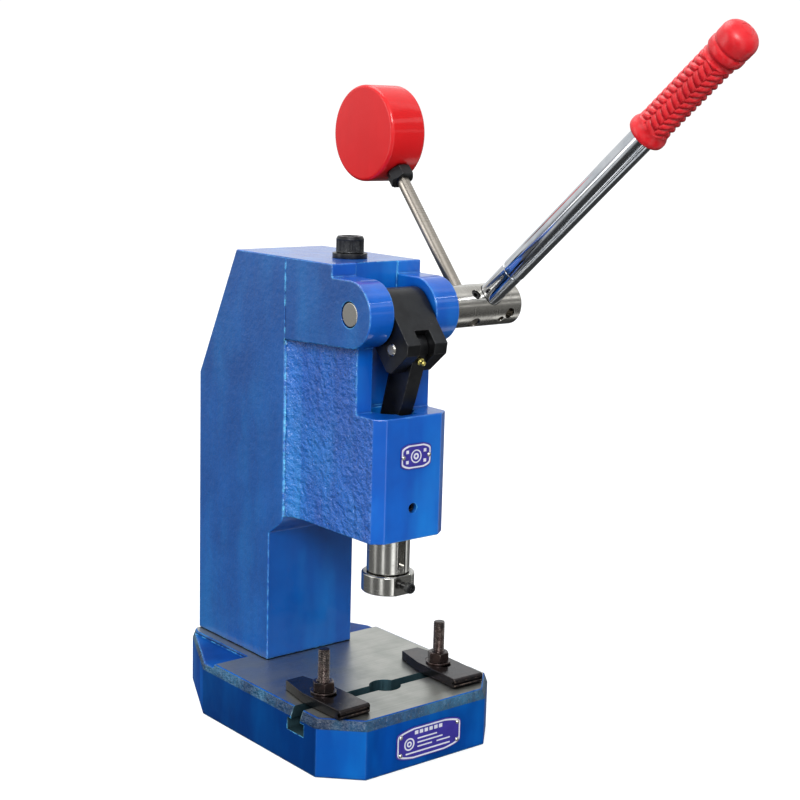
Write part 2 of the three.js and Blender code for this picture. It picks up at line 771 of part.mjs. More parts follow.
function ram() {
  const bar = turned(
    [
      [0, RAM_BOTTOM + 0.3],
      [RAM_SPIGOT_RADIUS, RAM_BOTTOM + 0.3],
      [RAM_SPIGOT_RADIUS, RAM_BOTTOM + COLLAR_HEIGHT + 0.1],
      [RAM_RADIUS - 0.5, RAM_BOTTOM + COLLAR_HEIGHT + 0.1],
      [RAM_RADIUS, RAM_BOTTOM + COLLAR_HEIGHT + 0.6],
      [RAM_RADIUS, RAM_TOP - 1],
      [RAM_RADIUS - 1, RAM_TOP],
      [0, RAM_TOP],
    ],
    SIDES_LARGE,
  ).translate([0, PRESS_Y, 0]);
  const clevis = box([-FORK_HALF_WIDTH, FORK_HALF_WIDTH], [0, 100], [RAM_PIN_Z - 14, RAM_TOP + 1]);
  return cut(bar, [
    clevis,
    sideProfile(pinSeat(), -20, 20),
    keyway(),
    cylinder("z", TOOL_BORE_RADIUS, 0, RAM_BOTTOM + TOOL_BORE_DEPTH, [0, PRESS_Y]),
    cylinder("y", 2.8, 0, PRESS_Y, [0, COLLAR_SCREW_Z], SIDES_SMALL),
  ]);
}

function collar() {
  const edge = 0.8;
  const top = RAM_BOTTOM + COLLAR_HEIGHT;
  const body = turned(
    [
      [0, RAM_BOTTOM],
      [COLLAR_RADIUS - edge, RAM_BOTTOM],
      [COLLAR_RADIUS, RAM_BOTTOM + edge],
      [COLLAR_RADIUS, top - edge],
      [COLLAR_RADIUS - edge, top],
      [0, top],
    ],
    SIDES_LARGE,
  ).translate([0, PRESS_Y, 0]);
  return cut(body, [
    cylinder("z", RAM_SPIGOT_RADIUS + 0.05, 0, 200, [0, PRESS_Y], SIDES_LARGE),
    box([-30, 30], [0, COLLAR_FLAT_Y], [RAM_BOTTOM - 1, top + 1]),
    cylinder("y", 2.6, 0, PRESS_Y, [0, COLLAR_SCREW_Z], SIDES_SMALL),
  ]);
}

function guideScrew() {
  const body = turned(
    [
      [0, -4.4],
      [2.9, -4.4],
      [2.9, 0],
      [3.9, 0.4],
      [3.9, 7],
      [3.5, 7.4],
      [0, 7.4],
    ],
    SIDES_SMALL,
  );
  return body.subtract(plate(hexagon(4), 4, 9));
}

function addRam() {
  addPiece("ram", ram(), brightSteel);
  addPiece("ram_collar", collar(), brightSteel);
  const clampScrew = addPiece("tool_clamp_screw", capScrew(2.45, 16.5, 4.3, 5, 4), blackSteel);
  clampScrew.position.set(0, COLLAR_FLAT_Y - 6, COLLAR_SCREW_Z);
  clampScrew.rotation.x = Math.PI / 2;
  const guide = addPiece("ram_guide_screw", guideScrew(), blackSteel);
  guide.position.set(0, PRESS_Y - RAM_RADIUS - 0.6, GUIDE_SCREW_Z);
  guide.rotation.x = Math.PI / 2;
}

// ---- lever --------------------------------------------------------------

function leverRod() {
  const radius = LEVER_ROD_RADIUS;
  return turned([
    [0, -LEVER_SPIGOT_DEPTH],
    [LEVER_SPIGOT_RADIUS - 1, -LEVER_SPIGOT_DEPTH],
    [LEVER_SPIGOT_RADIUS, -LEVER_SPIGOT_DEPTH + 1],
    [LEVER_SPIGOT_RADIUS, LEVER_SOCKET_FLOOR + CLEARANCE],
    [radius, LEVER_SOCKET_FLOOR + CLEARANCE],
    [radius, LEVER_STEP - CLEARANCE],
    [7.9, LEVER_STEP - CLEARANCE],
    [7.9, LEVER_STEP + 40],
    [0, LEVER_STEP + 40],
  ]);
}

// The grip is one moulding: a flange, a long sleeve, a groove and a domed end.
function leverGrip() {
  const bore = LEVER_TUBE_RADIUS + 0.15;
  return turned([
    [0, GRIP_END - 11.5],
    [bore, GRIP_END - 11.5],
    [bore, GRIP_START],
    [14, GRIP_START],
    [15.2, GRIP_START + 1.5],
    [15.2, GRIP_START + 4.5],
    [13.9, GRIP_START + 8],
    [13.7, GRIP_START + 12],
    [13.7, GRIP_NECK - 6],
    [12.8, GRIP_NECK - 4],
    [12.8, GRIP_NECK - 0.5],
    [14.2, GRIP_NECK],
    [14.7, GRIP_NECK + 2],
    [14.7, GRIP_NECK + 7.5],
    [14.1, GRIP_NECK + 9],
    [14.1, GRIP_NECK + 15],
    ...arc([4.1, GRIP_END - 10], 10, 0, 90, 6).slice(1),
    [0, GRIP_END],
  ]);
}

function addLever() {
  addPiece("lever_rod", leverRod(), chrome, leverGroup);
  const tube = ring(LEVER_TUBE_RADIUS, 8.1, LEVER_STEP, GRIP_END - 12);
  addPiece("lever_tube", tube, chrome, leverGroup);
  addPiece("lever_grip", leverGrip(), redPlastic, leverGroup);
}

// ---- counterweight ------------------------------------------------------

const NUT_THICKNESS = 10;
const NUT_ACROSS_FLATS = 19;
const WEIGHT_RIM = WEIGHT_DISTANCE - WEIGHT_RADIUS;
const LOCK_SCREW_OFFSET = 7; // towards the right side of the counterweight
const LOCK_SCREW_TURN = 21; // degrees round the disc from its nut, towards the back

function counterweightRod() {
  const radius = WEIGHT_ROD_RADIUS;
  return cylinder("z", radius, ROD_FOOT, WEIGHT_RIM + 26, [0, 0], SIDES_SMALL);
}

// The weight is a disc with its axis along X, so its rim stands over the rod.
function counterweight() {
  const half = WEIGHT_WIDTH / 2;
  const edge = 3;
  const corner = arc([WEIGHT_RADIUS - edge, half - edge], edge, 0, 90, 3);
  const low = arc([WEIGHT_RADIUS - edge, edge - half], edge, 270, 360, 3);
  const disc = turned([[0, -half], ...low, ...corner, [0, half]], SIDES_LARGE)
    .rotate([0, 90, 0])
    .translate([0, 0, WEIGHT_DISTANCE]);
  const rodHole = cylinder("z", WEIGHT_ROD_RADIUS + 0.1, 0, WEIGHT_RIM + 27, [0, 0], SIDES_SMALL);
  const lockHole = lockScrewFrame(cylinder("z", 2.7, 0, 17, [0, 0], SIDES_SMALL));
  return cut(disc, [rodHole, lockHole]);
}

// The lock screw enters the rim behind the nut.
function lockScrewFrame(solid) {
  return solid
    .translate([LOCK_SCREW_OFFSET, 0, -WEIGHT_RADIUS - 7])
    .rotate([LOCK_SCREW_TURN, 0, 0])
    .translate([0, 0, WEIGHT_DISTANCE]);
}

function addCounterweight() {
  addPiece("counterweight_rod", counterweightRod(), chrome, weightGroup);
  addPiece("counterweight", counterweight(), redPaint, weightGroup);
  const nutTop = WEIGHT_RIM - 0.4;
  const hole = WEIGHT_ROD_RADIUS + 0.1;
  const nut = hexNut(NUT_ACROSS_FLATS, hole, nutTop - NUT_THICKNESS, nutTop);
  addPiece("counterweight_nut", nut, blackSteel, weightGroup);
  const lock = setScrew(2.6, 16, 2.5).rotate([180, 0, 0]).translate([0, 0, 16]);
  addPiece("counterweight_lock_screw", lockScrewFrame(lock), blackSteel, weightGroup);
}

function addHeadSetScrew() {
  const screw = setScrew(3.9, 10.4, 4).translate([0, 0, WEIGHT_ROD_RADIUS + 0.6]);
  const group = radialGroup(WEIGHT_X, LEVER_LEAN);
  addPiece("counterweight_rod_screw", screw, blackSteel, group);
}

// ---- table clamps -------------------------------------------------------

// A flat bar with a rounded nose, a tapered tail and a slot for the stud.
function clampBar() {
  const halfWidth = 15;
  const front = -41;
  const back = 39;
  const plan = outline([
    [-halfWidth, front],
    [halfWidth, front],
    [halfWidth, 8],
    [8.5, back],
    [-8.5, back],
    [-halfWidth, 8],
  ]);
  const side = outline([
    ...arc([front + 5, CLAMP_THICKNESS / 2], CLAMP_THICKNESS / 2, 90, 270, 10),
    [back, 0],
    [back, CLAMP_THICKNESS],
  ]);
  const slotHalf = STUD_RADIUS + 0.6;
  const slot = outline([
    ...arc([0, 8], slotHalf, 0, 180, 10),
    ...arc([0, -8], slotHalf, 180, 360, 10),
  ]);
  return plate(plan, 0, CLAMP_THICKNESS)
    .intersect(sideProfile(side, -halfWidth - 1, halfWidth + 1))
    .subtract(plate(slot, -1, CLAMP_THICKNESS + 1));
}

// A T-bolt: a head that fills the slot, a square neck and a threaded stud.
function clampStud() {
  const head = box([-10, 10], [-10.5, 10.5], [SLOT_WIDE_BOTTOM + 0.4, SLOT_WIDE_TOP - 1]);
  const neck = box([-5.6, 5.6], [-5.6, 5.6], [SLOT_WIDE_TOP - 2, BASE_HEIGHT - 1]);
  const stud = turned(
    [
      [0, BASE_HEIGHT - 2],
      [STUD_RADIUS, BASE_HEIGHT - 2],
      [STUD_RADIUS, STUD_TOP - 1],
      [STUD_RADIUS - 1, STUD_TOP],
      [0, STUD_TOP],
    ],
    SIDES_SMALL,
  );
  return unite([head, neck, stud]);
}

function addClamps() {
  const barBottom = BASE_HEIGHT + 0.1;
  const washerBottom = barBottom + CLAMP_THICKNESS + 0.05;
  const nutBottom = washerBottom + CLAMP_WASHER_THICKNESS + 0.05;
  for (const { side, x, turn } of CLAMPS) {
    const group = new THREE.Group();
    group.position.set(x, PRESS_Y, 0);
    press.add(group);
    addPiece(`clamp_stud_${side}`, clampStud(), blackSteel, group);
    const bar = addPiece(`clamp_bar_${side}`, clampBar(), blackSteel, group);
    bar.position.z = barBottom;
    bar.rotation.z = THREE.MathUtils.degToRad(turn);
    const washer = ring(10.4, STUD_RADIUS + 0.3, 0, CLAMP_WASHER_THICKNESS);
    addPiece(`clamp_washer_${side}`, washer, blackSteel, group).position.z = washerBottom;
    const nut = hexNut(16, STUD_RADIUS + RUNNING_FIT, 0, CLAMP_NUT_HEIGHT);
    addPiece(`clamp_nut_${side}`, nut, blackSteel, group).position.z = nutBottom;
  }
}

// ---- plates and rivets --------------------------------------------------

const PLATE_THICKNESS = 0.8;
const RIVET_RADIUS = 1.1;

const BASE_PLATE_LABEL = {
  name: "base_label",
  halfWidth: 33.5,
  halfHeight: 10.5,
  bulge: 4,
  centre: [1.5, 20],
  faceY: 0,
  rivets: [[-29.5, -7.5], [29.5, -7.5], [29.5, 7.5], [-29.5, 7.5]],
};
const HEAD_EMBLEM = {
  name: "head_emblem",
  halfWidth: 15.5,
  halfHeight: 8,
  bulge: 3,
  centre: [1.5, 246],
  faceY: HEAD_FRONT_Y,
  rivets: [[-13, 0], [13, 0]],
};

// A thin plate with straight ends and crowned long edges.
function labelOutline({ halfWidth, halfHeight, bulge }) {
  const steps = 8;
  const top = Array.from({ length: steps + 1 }, (_, i) => {
    const across = 1 - (2 * i) / steps;
    return [halfWidth * across, halfHeight + bulge * (1 - across * across)];
  });
  const bottom = top.map(([x, z]) => [-x, -z]);
  return outline([...top, ...bottom]);
}

function rivet() {
  const shank = RIVET_RADIUS - 0.1;
  const profile = [[0, -0.7], [shank, -0.7], [shank, 0.05], [1.9, 0.05], [1.5, 0.8], [0, 1.3]];
  return turned(profile, SIDES_TINY);
}

function addLabel(label) {
  const [x, z] = label.centre;
  const front = label.faceY - PLATE_THICKNESS - 0.05;
  const holes = label.rivets.map(([dx, dz]) =>
    cylinder("y", RIVET_RADIUS, -5, 5, [dx, dz], SIDES_TINY),
  );
  const sheet = cut(frontProfile(labelOutline(label), 0, PLATE_THICKNESS), holes);
  addPiece(`${label.name}_plate`, sheet, labelPurple).position.set(x, front, z);
  label.rivets.forEach(([dx, dz], i) => {
    const pin = addPiece(`${label.name}_rivet_${i + 1}`, rivet(), brightSteel);
    pin.position.set(x + dx, front, z + dz);
    pin.rotation.x = Math.PI / 2;
  });
}

addFrame();
addBushes();
addShaftAssembly();
addLink();
addRam();
addLever();
addCounterweight();
addHeadSetScrew();
addClamps();
addLabel(BASE_PLATE_LABEL);
addLabel(HEAD_EMBLEM);

export default press;
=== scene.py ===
"""The visual model of a toggle hand press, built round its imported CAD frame."""
import json
import math

import bmesh
import bpy
from mathutils import Matrix, Vector


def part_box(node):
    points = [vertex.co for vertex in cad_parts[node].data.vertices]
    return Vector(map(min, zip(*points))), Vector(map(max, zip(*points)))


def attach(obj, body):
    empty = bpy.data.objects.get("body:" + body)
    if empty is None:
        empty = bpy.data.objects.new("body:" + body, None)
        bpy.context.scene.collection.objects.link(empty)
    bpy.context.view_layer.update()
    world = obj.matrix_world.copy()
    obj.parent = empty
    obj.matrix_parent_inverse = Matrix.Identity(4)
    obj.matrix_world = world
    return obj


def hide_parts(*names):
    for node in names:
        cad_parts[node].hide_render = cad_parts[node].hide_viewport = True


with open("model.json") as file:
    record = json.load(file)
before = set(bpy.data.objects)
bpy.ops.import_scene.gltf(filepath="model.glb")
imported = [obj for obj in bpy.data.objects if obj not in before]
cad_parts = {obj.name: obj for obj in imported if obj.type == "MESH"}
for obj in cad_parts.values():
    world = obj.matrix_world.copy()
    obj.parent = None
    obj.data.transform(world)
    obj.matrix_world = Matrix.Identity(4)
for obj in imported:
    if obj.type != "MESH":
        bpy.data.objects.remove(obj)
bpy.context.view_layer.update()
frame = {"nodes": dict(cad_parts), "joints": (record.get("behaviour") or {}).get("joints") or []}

# Everything is drawn in millimetres, with Y = 0 on the front face of the base,
# and scaled to metres when a piece is made.
MM = 0.001
BASE_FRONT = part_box("base_plate")[0][1]
DRAWING = Matrix.Translation((0, BASE_FRONT, 0)) @ Matrix.Scale(MM, 4)

ROUND = 64  # facets round a full turn
FINE = 96
MEDIUM = 48
SMALL = 32
SAME_PLACE = 1e-7  # metres
PAST = 5  # how far a cutting tool reaches past what it cuts


# ---- places, from the frame ---------------------------------------------

def span(node):
    """A node's box in the drawing's millimetres: (x0, x1), (y0, y1), (z0, z1)."""
    low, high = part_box(node)
    shift = (0, BASE_FRONT, 0)
    return [((low[k] - shift[k]) / MM, (high[k] - shift[k]) / MM) for k in range(3)]


def centre(node):
    return Vector([(low + high) / 2 for low, high in span(node)])


def joint_place(name):
    joint = next(j for j in frame["joints"] if j["name"] == name)
    x, y, z = joint["pos_m"]
    return Vector((x / MM, (y - BASE_FRONT) / MM, z / MM))


SHAFT = joint_place("lever_turn")
KNEE = joint_place("link_fold")
RAM_PIN = centre("ram_pin")
LEVER_TUBE = centre("lever_tube")
WEIGHT = centre("counterweight")
PRESS_Y = SHAFT.y


def lean(start, end):
    """How far a line leans forward of straight up, in radians."""
    return math.atan2(start.y - end.y, end.z - start.z)


def radial(x, angle):
    """Places what is drawn along +Z on a line that leans out from the shaft."""
    return Matrix.Translation((x, SHAFT.y, SHAFT.z)) @ Matrix.Rotation(angle, 4, "X")


LEVER_FRAME = radial(LEVER_TUBE.x, lean(SHAFT, LEVER_TUBE))
WEIGHT_FRAME = radial(WEIGHT.x, lean(SHAFT, WEIGHT))
YOKE_FRAME = radial(0, lean(KNEE, SHAFT))
LINK_FRAME = Matrix.Translation(KNEE) @ Matrix.Rotation(lean(RAM_PIN, KNEE), 4, "X")


# ---- meshes -------------------------------------------------------------

def arc(cx, cy, radius, start, end, steps):
    """Points of an arc between two angles in degrees."""
    angles = [math.radians(start + (end - start) * i / steps) for i in range(steps + 1)]
    return [(cx + radius * math.cos(a), cy + radius * math.sin(a)) for a in angles]


def mirrored(points):
    return [(-x, y) for x, y in reversed(points)]


def round_point(radius, angle, z):
    return (radius * math.cos(angle), radius * math.sin(angle), z)


def circle(radius, z, sides):
    """Points round a circle at a height."""
    return [round_point(radius, 2 * math.pi * i / sides, z) for i in range(sides)]


def skinned(rings, closed=False):
    """A solid over rings of points of equal length, capped at its ends or, if closed, joined up."""
    mesh = bmesh.new()
    loops = [[mesh.verts.new(point) for point in ring_points] for ring_points in rings]
    following = loops[1:] + loops[:1] if closed else loops[1:]
    for low, high in zip(loops, following):
        for i in range(len(low)):
            j = (i + 1) % len(low)
            mesh.faces.new((low[i], low[j], high[j], high[i]))
    if not closed:
        mesh.faces.new(list(reversed(loops[0])))
        mesh.faces.new(loops[-1])
    bmesh.ops.recalc_face_normals(mesh, faces=mesh.faces)
    return mesh


def loft(levels):
    """A closed solid through outlines of equal length: [(points, z), ...] from the bottom up."""
    return skinned([[(x, y, z) for x, y in points] for points, z in levels])


def prism(points, bottom, top):
    return loft([(points, bottom), (points, top)])


def turned(profile, sides=ROUND):
    """A solid turned round Z from (radius, z) pairs that start and end on the axis."""
    mesh = bmesh.new()
    rings = []
    for radius, z in profile:
        if radius == 0:
            rings.append([mesh.verts.new((0, 0, z))] * sides)
        else:
            rings.append([mesh.verts.new(point) for point in circle(radius, z, sides)])
    for low, high in zip(rings, rings[1:]):
        for i in range(sides):
            j = (i + 1) % sides
            corners = []
            for vertex in (low[i], low[j], high[j], high[i]):
                if vertex not in corners:
                    corners.append(vertex)
            mesh.faces.new(corners)
    bmesh.ops.recalc_face_normals(mesh, faces=mesh.faces)
    return mesh


def ring(outer, inner, bottom, top, sides=ROUND):
    """A turned ring, whose profile closes on itself."""
    corners = ((inner, bottom), (outer, bottom), (outer, top), (inner, top))
    return skinned([circle(radius, z, sides) for radius, z in corners], closed=True)


def box(x, y, z):
    return prism([(x[0], y[0]), (x[1], y[0]), (x[1], y[1]), (x[0], y[1])], z[0], z[1])


def placed(mesh, matrix):
    mesh.transform(matrix)
    return mesh


def at(x, y, z):
    return Matrix.Translation((x, y, z))


def side_view(points, left, right):
    """An outline in Y and Z, extruded along X."""
    turn = Matrix(((0, 0, 1, 0), (1, 0, 0, 0), (0, 1, 0, 0), (0, 0, 0, 1)))
    return placed(prism(points, left, right), turn)


def front_view(points, front, back):
    """An outline in X and Z, extruded along Y."""
    turn = Matrix(((1, 0, 0, 0), (0, 0, -1, back), (0, 1, 0, 0), (0, 0, 0, 1)))
    return placed(prism(points, 0, back - front), turn)


def rod(axis, radius, start, end, spot, sides=ROUND):
    """A cylinder along an axis; `spot` gives its two other coordinates in x, y, z order."""
    mesh = prism(arc(0, 0, radius, 0, 360 - 360 / sides, sides - 1), start, end)
    if axis == "x":
        return placed(mesh, Matrix(((0, 0, 1, 0), (1, 0, 0, spot[0]), (0, 1, 0, spot[1]), (0, 0, 0, 1))))
    if axis == "y":
        return placed(mesh, Matrix(((1, 0, 0, spot[0]), (0, 0, 1, 0), (0, -1, 0, spot[1]), (0, 0, 0, 1))))
    return placed(mesh, at(*spot, 0))


def hexagon(across_flats):
    return arc(0, 0, across_flats / math.sqrt(3), 0, 300, 5)


def as_object(mesh):
    data = bpy.data.meshes.new("work")
    mesh.to_mesh(data)
    mesh.free()
    return in_collection("work", data)


def with_modifiers(piece, extras=()):
    """The mesh that a work object's modifiers give; the work objects are deleted."""
    evaluated = piece.evaluated_get(bpy.context.evaluated_depsgraph_get())
    mesh = bmesh.new()
    mesh.from_mesh(evaluated.to_mesh())
    evaluated.to_mesh_clear()
    for item in (piece, *extras):
        data = item.data
        bpy.data.objects.remove(item)
        bpy.data.meshes.remove(data)
    return mesh


def combined(mesh, tools, operation="DIFFERENCE"):
    piece = as_object(mesh)
    others = [as_object(tool) for tool in tools]
    for other in others:
        modifier = piece.modifiers.new("join", "BOOLEAN")
        modifier.operation = operation
        modifier.solver = "MANIFOLD"
        modifier.object = other
    return with_modifiers(piece, others)


def cut(mesh, *tools):
    return combined(mesh, tools)


def joined(mesh, *tools):
    return combined(mesh, tools, "UNION")


def add_bevel(piece, width, segments, angle):
    """Rounds the edges that are sharper than an angle in degrees."""
    modifier = piece.modifiers.new("edges", "BEVEL")
    modifier.width = width
    modifier.segments = segments
    modifier.limit_method = "ANGLE"
    modifier.angle_limit = math.radians(angle)
    modifier.use_clamp_overlap = False
    modifier.miter_outer = "MITER_ARC"
    return modifier


def rounded(mesh, width, angle=35):
    """A mesh with every edge sharper than `angle` rounded."""
    piece = as_object(mesh)
    add_bevel(piece, width, 3, angle)
    return with_modifiers(piece)


def in_collection(name, data):
    """A new object in the scene."""
    piece = bpy.data.objects.new(name, data)
    bpy.context.scene.collection.objects.link(piece)
    return piece


def make(name, mesh, material, body, nodes=(), bevel=0, segments=2, place=None, smooth=35, flat=False):
    """Makes a finished piece from a drawing in millimetres and rides it on its body.

    `material` is one material, or several whose first covers the piece until it is painted.
    `flat` keeps the shading of large faces flat beside edges that were rounded earlier.
    """
    if place is not None:
        mesh.transform(place)
    mesh.transform(DRAWING)
    bmesh.ops.remove_doubles(mesh, verts=mesh.verts, dist=SAME_PLACE)
    data = bpy.data.meshes.new(name)
    mesh.to_mesh(data)
    mesh.free()
    piece = in_collection(name, data)
    materials = material if isinstance(material, tuple) else (material,)
    for item in materials:
        data.materials.append(item)
    data.shade_smooth()
    data.set_sharp_from_angle(angle=math.radians(smooth))
    if bevel:
        add_bevel(piece, bevel * MM, segments, smooth).harden_normals = True
    if flat:
        modifier = piece.modifiers.new("flat faces", "WEIGHTED_NORMAL")
        modifier.weight = 100
        modifier.keep_sharp = True
    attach(piece, body)
    if nodes:
        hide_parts(*nodes)
    return piece


# ---- materials ----------------------------------------------------------

def feed(socket, value):
    """Sets an input to a value, or links it to another node's output."""
    if isinstance(value, bpy.types.NodeSocket):
        socket.id_data.links.new(value, socket)
    else:
        socket.default_value = value


def node(owner, kind, inputs=None, **settings):
    """Adds a shader node to the tree of another node or socket; an input is a value or an output."""
    new = owner.id_data.nodes.new(kind)
    for name, value in settings.items():
        setattr(new, name, value)
    for name, value in (inputs or {}).items():
        feed(new.inputs[name], value)
    return new


def start_material(name, **values):
    material = bpy.data.materials.new(name)
    material.use_nodes = True
    tree = material.node_tree
    tree.nodes.clear()
    shader = node(tree, "ShaderNodeBsdfPrincipled", values)
    node(tree, "ShaderNodeOutputMaterial", {"Surface": shader.outputs[0]})
    place = node(tree, "ShaderNodeTexCoord").outputs["Object"]
    return material, shader, place


def noise(place, scale, detail=3.0, rough=0.55):
    """Noise with a number of lumps to the metre."""
    inputs = {"Vector": place, "Scale": scale, "Detail": detail, "Roughness": rough}
    return node(place, "ShaderNodeTexNoise", inputs).outputs["Fac"]


def stretched(place, scale):
    return node(place, "ShaderNodeMapping", {"Vector": place, "Scale": scale}).outputs["Vector"]


def spread(value, low, high, to_low=0.0, to_high=1.0):
    """Stretches the range between two values over another one."""
    inputs = {"Value": value, "From Min": low, "From Max": high, "To Min": to_low, "To Max": to_high}
    return node(value, "ShaderNodeMapRange", inputs).outputs["Result"]


def patches(place, scale, detail, low, high, to_low=0.0, to_high=1.0):
    """Noise drawn out into patches with soft edges."""
    return spread(noise(place, scale, detail), low, high, to_low, to_high)


def math_node(operation, a, b=0.0):
    """Arithmetic on an output `a` and an output or value `b`."""
    new = node(a, "ShaderNodeMath", operation=operation)
    feed(new.inputs[0], a)
    feed(new.inputs[1], b)
    return new.outputs[0]


def mixed(factor, first, second):
    """A blend of two colours."""
    new = node(factor, "ShaderNodeMix", data_type="RGBA")
    sockets = {socket.identifier: socket for socket in (*new.inputs, *new.outputs)}
    feed(sockets["Factor_Float"], factor)
    feed(sockets["A_Color"], first)
    feed(sockets["B_Color"], second)
    return sockets["Result_Color"]


def edge_mask(place, radius, scale, low, high):
    """White along edges, where a rounded normal leaves the true one, broken up by noise: wear on bare steel,
    wear and a painted highlight on enamel.
    """
    soft = node(place, "ShaderNodeBevel", {"Radius": radius}, samples=4).outputs["Normal"]
    true = node(place, "ShaderNodeNewGeometry").outputs["Normal"]
    dot = node(place, "ShaderNodeVectorMath", operation="DOT_PRODUCT")
    feed(dot.inputs[0], soft)
    feed(dot.inputs[1], true)
    edge = spread(dot.outputs["Value"], 1.0, 0.0)
    broken = patches(place, scale, 5.0, 0.42, 0.62)
    return math_node("MULTIPLY", spread(edge, low, high), broken)


def painted_shade_mask(place, distance):
    """White in corners and seams, where the open sky is hidden: a mask for painted shade."""
    open_sky = node(place, "ShaderNodeAmbientOcclusion", {"Distance": distance}, samples=6).outputs["AO"]
    return spread(open_sky, 0.78, 0.3)


def dress(shader, colour, roughness, *layers):
    """Connects a shader's colour, roughness and bump layers, each (height, strength, distance in metres)."""
    feed(shader.inputs["Base Color"], colour)
    feed(shader.inputs["Roughness"], roughness)
    normal = None
    for height, strength, distance in layers:
        inputs = {"Height": height, "Strength": strength, "Distance": distance}
        if normal is not None:
            inputs["Normal"] = normal
        normal = node(shader, "ShaderNodeBump", inputs).outputs["Normal"]
    feed(shader.inputs["Normal"], normal)
    return normal


def linear(red, green, blue):
    """An 8-bit screen colour as the shader's linear one."""
    def channel(value):
        value /= 255
        return value / 12.92 if value <= 0.04045 else ((value + 0.055) / 1.055) ** 2.4
    return (channel(red), channel(green), channel(blue), 1.0)


def dimmed(colour, share):
    """A colour with a share of its brightness."""
    return [share * channel for channel in colour[:3]] + [1.0]


def enamel(name, colour, deep, thin, wear_and_highlight=(96, 190, 235), cast=0.0, coat=0.8):
    """Sprayed gloss enamel: deep where it gathers, thin in patches, darkened in corners as painted shade, and
    rubbed along its edges, which are also lightened as a painted highlight.

    `cast` is the depth of the rough casting skin under it, in metres.
    """
    material, shader, place = start_material(name, **{
        "IOR": 1.35, "Specular IOR Level": 0.5 * coat,
        "Coat Weight": coat, "Coat Roughness": 0.1 if cast else 0.07, "Coat IOR": 1.5,
    })
    colour, deep, thin, wear_and_highlight = (linear(*shade) for shade in (colour, deep, thin, wear_and_highlight))
    streaks = stretched(place, (60.0, 60.0, 7.0))
    runs = stretched(place, (22.0, 22.0, 8.0))
    film = mixed(patches(place, 14.0, 4.0, 0.35, 0.68), colour, deep)
    film = mixed(patches(streaks, 1.0, 4.0, 0.4, 0.75, 0.0, 0.6), film, deep)
    film = mixed(patches(runs, 1.0, 3.0, 0.48, 0.72, 0.0, 0.7), film, thin)
    # Painted shade: the film goes dark in corners and seams.
    film = mixed(painted_shade_mask(place, 0.005), film, dimmed(deep, 0.12))
    # Painted highlight mixed with wear: the edges are lightened towards a pale colour.
    film = mixed(edge_mask(place, 0.0012, 160.0, 0.006, 0.07), film, wear_and_highlight)
    gloss = patches(place, 60.0, 5.0, 0.3, 0.7, 0.34, 0.5)
    waves = noise(place, 38.0, 3.0)
    peel = noise(place, 240.0, 2.0)
    layers = [(waves, 0.35, 0.0009), (peel, 0.25, 0.00025)]
    if cast:
        cells = node(place, "ShaderNodeTexVoronoi", {"Vector": place, "Scale": 210.0}, feature="SMOOTH_F1")
        grain = noise(place, 420.0, 5.0, 0.6)
        lumps = noise(place, 150.0, 3.0, 0.6)
        pebbles = cells.outputs["Distance"]
        layers += [(lumps, 1.0, cast), (pebbles, 0.8, cast * 0.4), (grain, 1.0, cast * 0.35)]
    feed(shader.inputs["Coat Normal"], dress(shader, film, gloss, *layers))
    return material


def machined(name, colour, axis, roughness, scratch=0.12, tarnish=None):
    """Bare metal with tool marks that run across `axis` (0, 1 or 2)."""
    material, shader, place = start_material(name, Metallic=1.0)
    colour = linear(*colour)
    tarnish = linear(*tarnish) if tarnish else dimmed(colour, 0.72)
    scale = [9.0, 9.0, 9.0]
    scale[axis] = 1500.0
    lines = noise(stretched(place, scale), 1.0, 4.0, 0.7)
    stains = patches(place, 38.0, 5.0, 0.38, 0.66)
    metal = mixed(stains, colour, tarnish)
    metal = mixed(spread(lines, 0.35, 0.7, 0.0, 0.35), metal, dimmed(colour, 0.6))
    # Painted shade: the metal goes dark in corners and recesses.
    metal = mixed(painted_shade_mask(place, 0.003), metal, dimmed(colour, 0.08))
    dull = spread(stains, 0.0, 1.0, 0.0, 0.08)
    scored = spread(lines, 0.3, 0.7, roughness * 0.8, roughness * 1.3)
    dress(shader, metal, math_node("ADD", dull, scored), (lines, scratch, 0.00015))
    return material


def chrome_plate(name):
    material, shader, place = start_material(name, Metallic=1.0)
    haze = patches(place, 55.0, 5.0, 0.35, 0.7)
    fine = noise(place, 900.0, 3.0)
    waves = noise(place, 30.0, 2.0)
    dress(shader, mixed(haze, linear(214, 216, 220), linear(190, 194, 200)),
          spread(haze, 0.0, 1.0, 0.07, 0.16), (fine, 0.05, 0.0001), (waves, 0.1, 0.0003))
    return material


def black_oxide(name, colour, brown, bare, roughness=0.36):
    """Oil-blackened steel, brown where the film is thin and bare along its edges."""
    material, shader, place = start_material(
        name, **{"Metallic": 0.85, "Coat Weight": 0.25, "Coat Roughness": 0.25}
    )
    film = mixed(patches(place, 70.0, 6.0, 0.42, 0.68), linear(*colour), linear(*brown))
    film = mixed(edge_mask(place, 0.0006, 300.0, 0.01, 0.12), film, linear(*bare))
    gloss = patches(place, 130.0, 6.0, 0.3, 0.7, roughness * 0.75, roughness * 1.4)
    pits = noise(place, 800.0, 4.0)
    waves = noise(place, 90.0, 3.0)
    dress(shader, film, gloss, (pits, 0.25, 0.00015), (waves, 0.15, 0.0004))
    return material


def moulded(name, colour, deep):
    """Soft moulded plastic with a fine matt skin."""
    material, shader, place = start_material(
        name, **{"IOR": 1.46, "Subsurface Weight": 0.06, "Subsurface Scale": 0.004}
    )
    skin = mixed(patches(place, 40.0, 4.0, 0.35, 0.7), linear(*colour), linear(*deep))
    # Painted shade: the skin goes dark in the grooves and corners.
    skin = mixed(painted_shade_mask(place, 0.003), skin, dimmed(linear(*deep), 0.35))
    gloss = patches(place, 220.0, 4.0, 0.3, 0.7, 0.28, 0.44)
    dress(shader, skin, gloss, (noise(place, 1400.0, 3.0), 0.2, 0.0001))
    return material


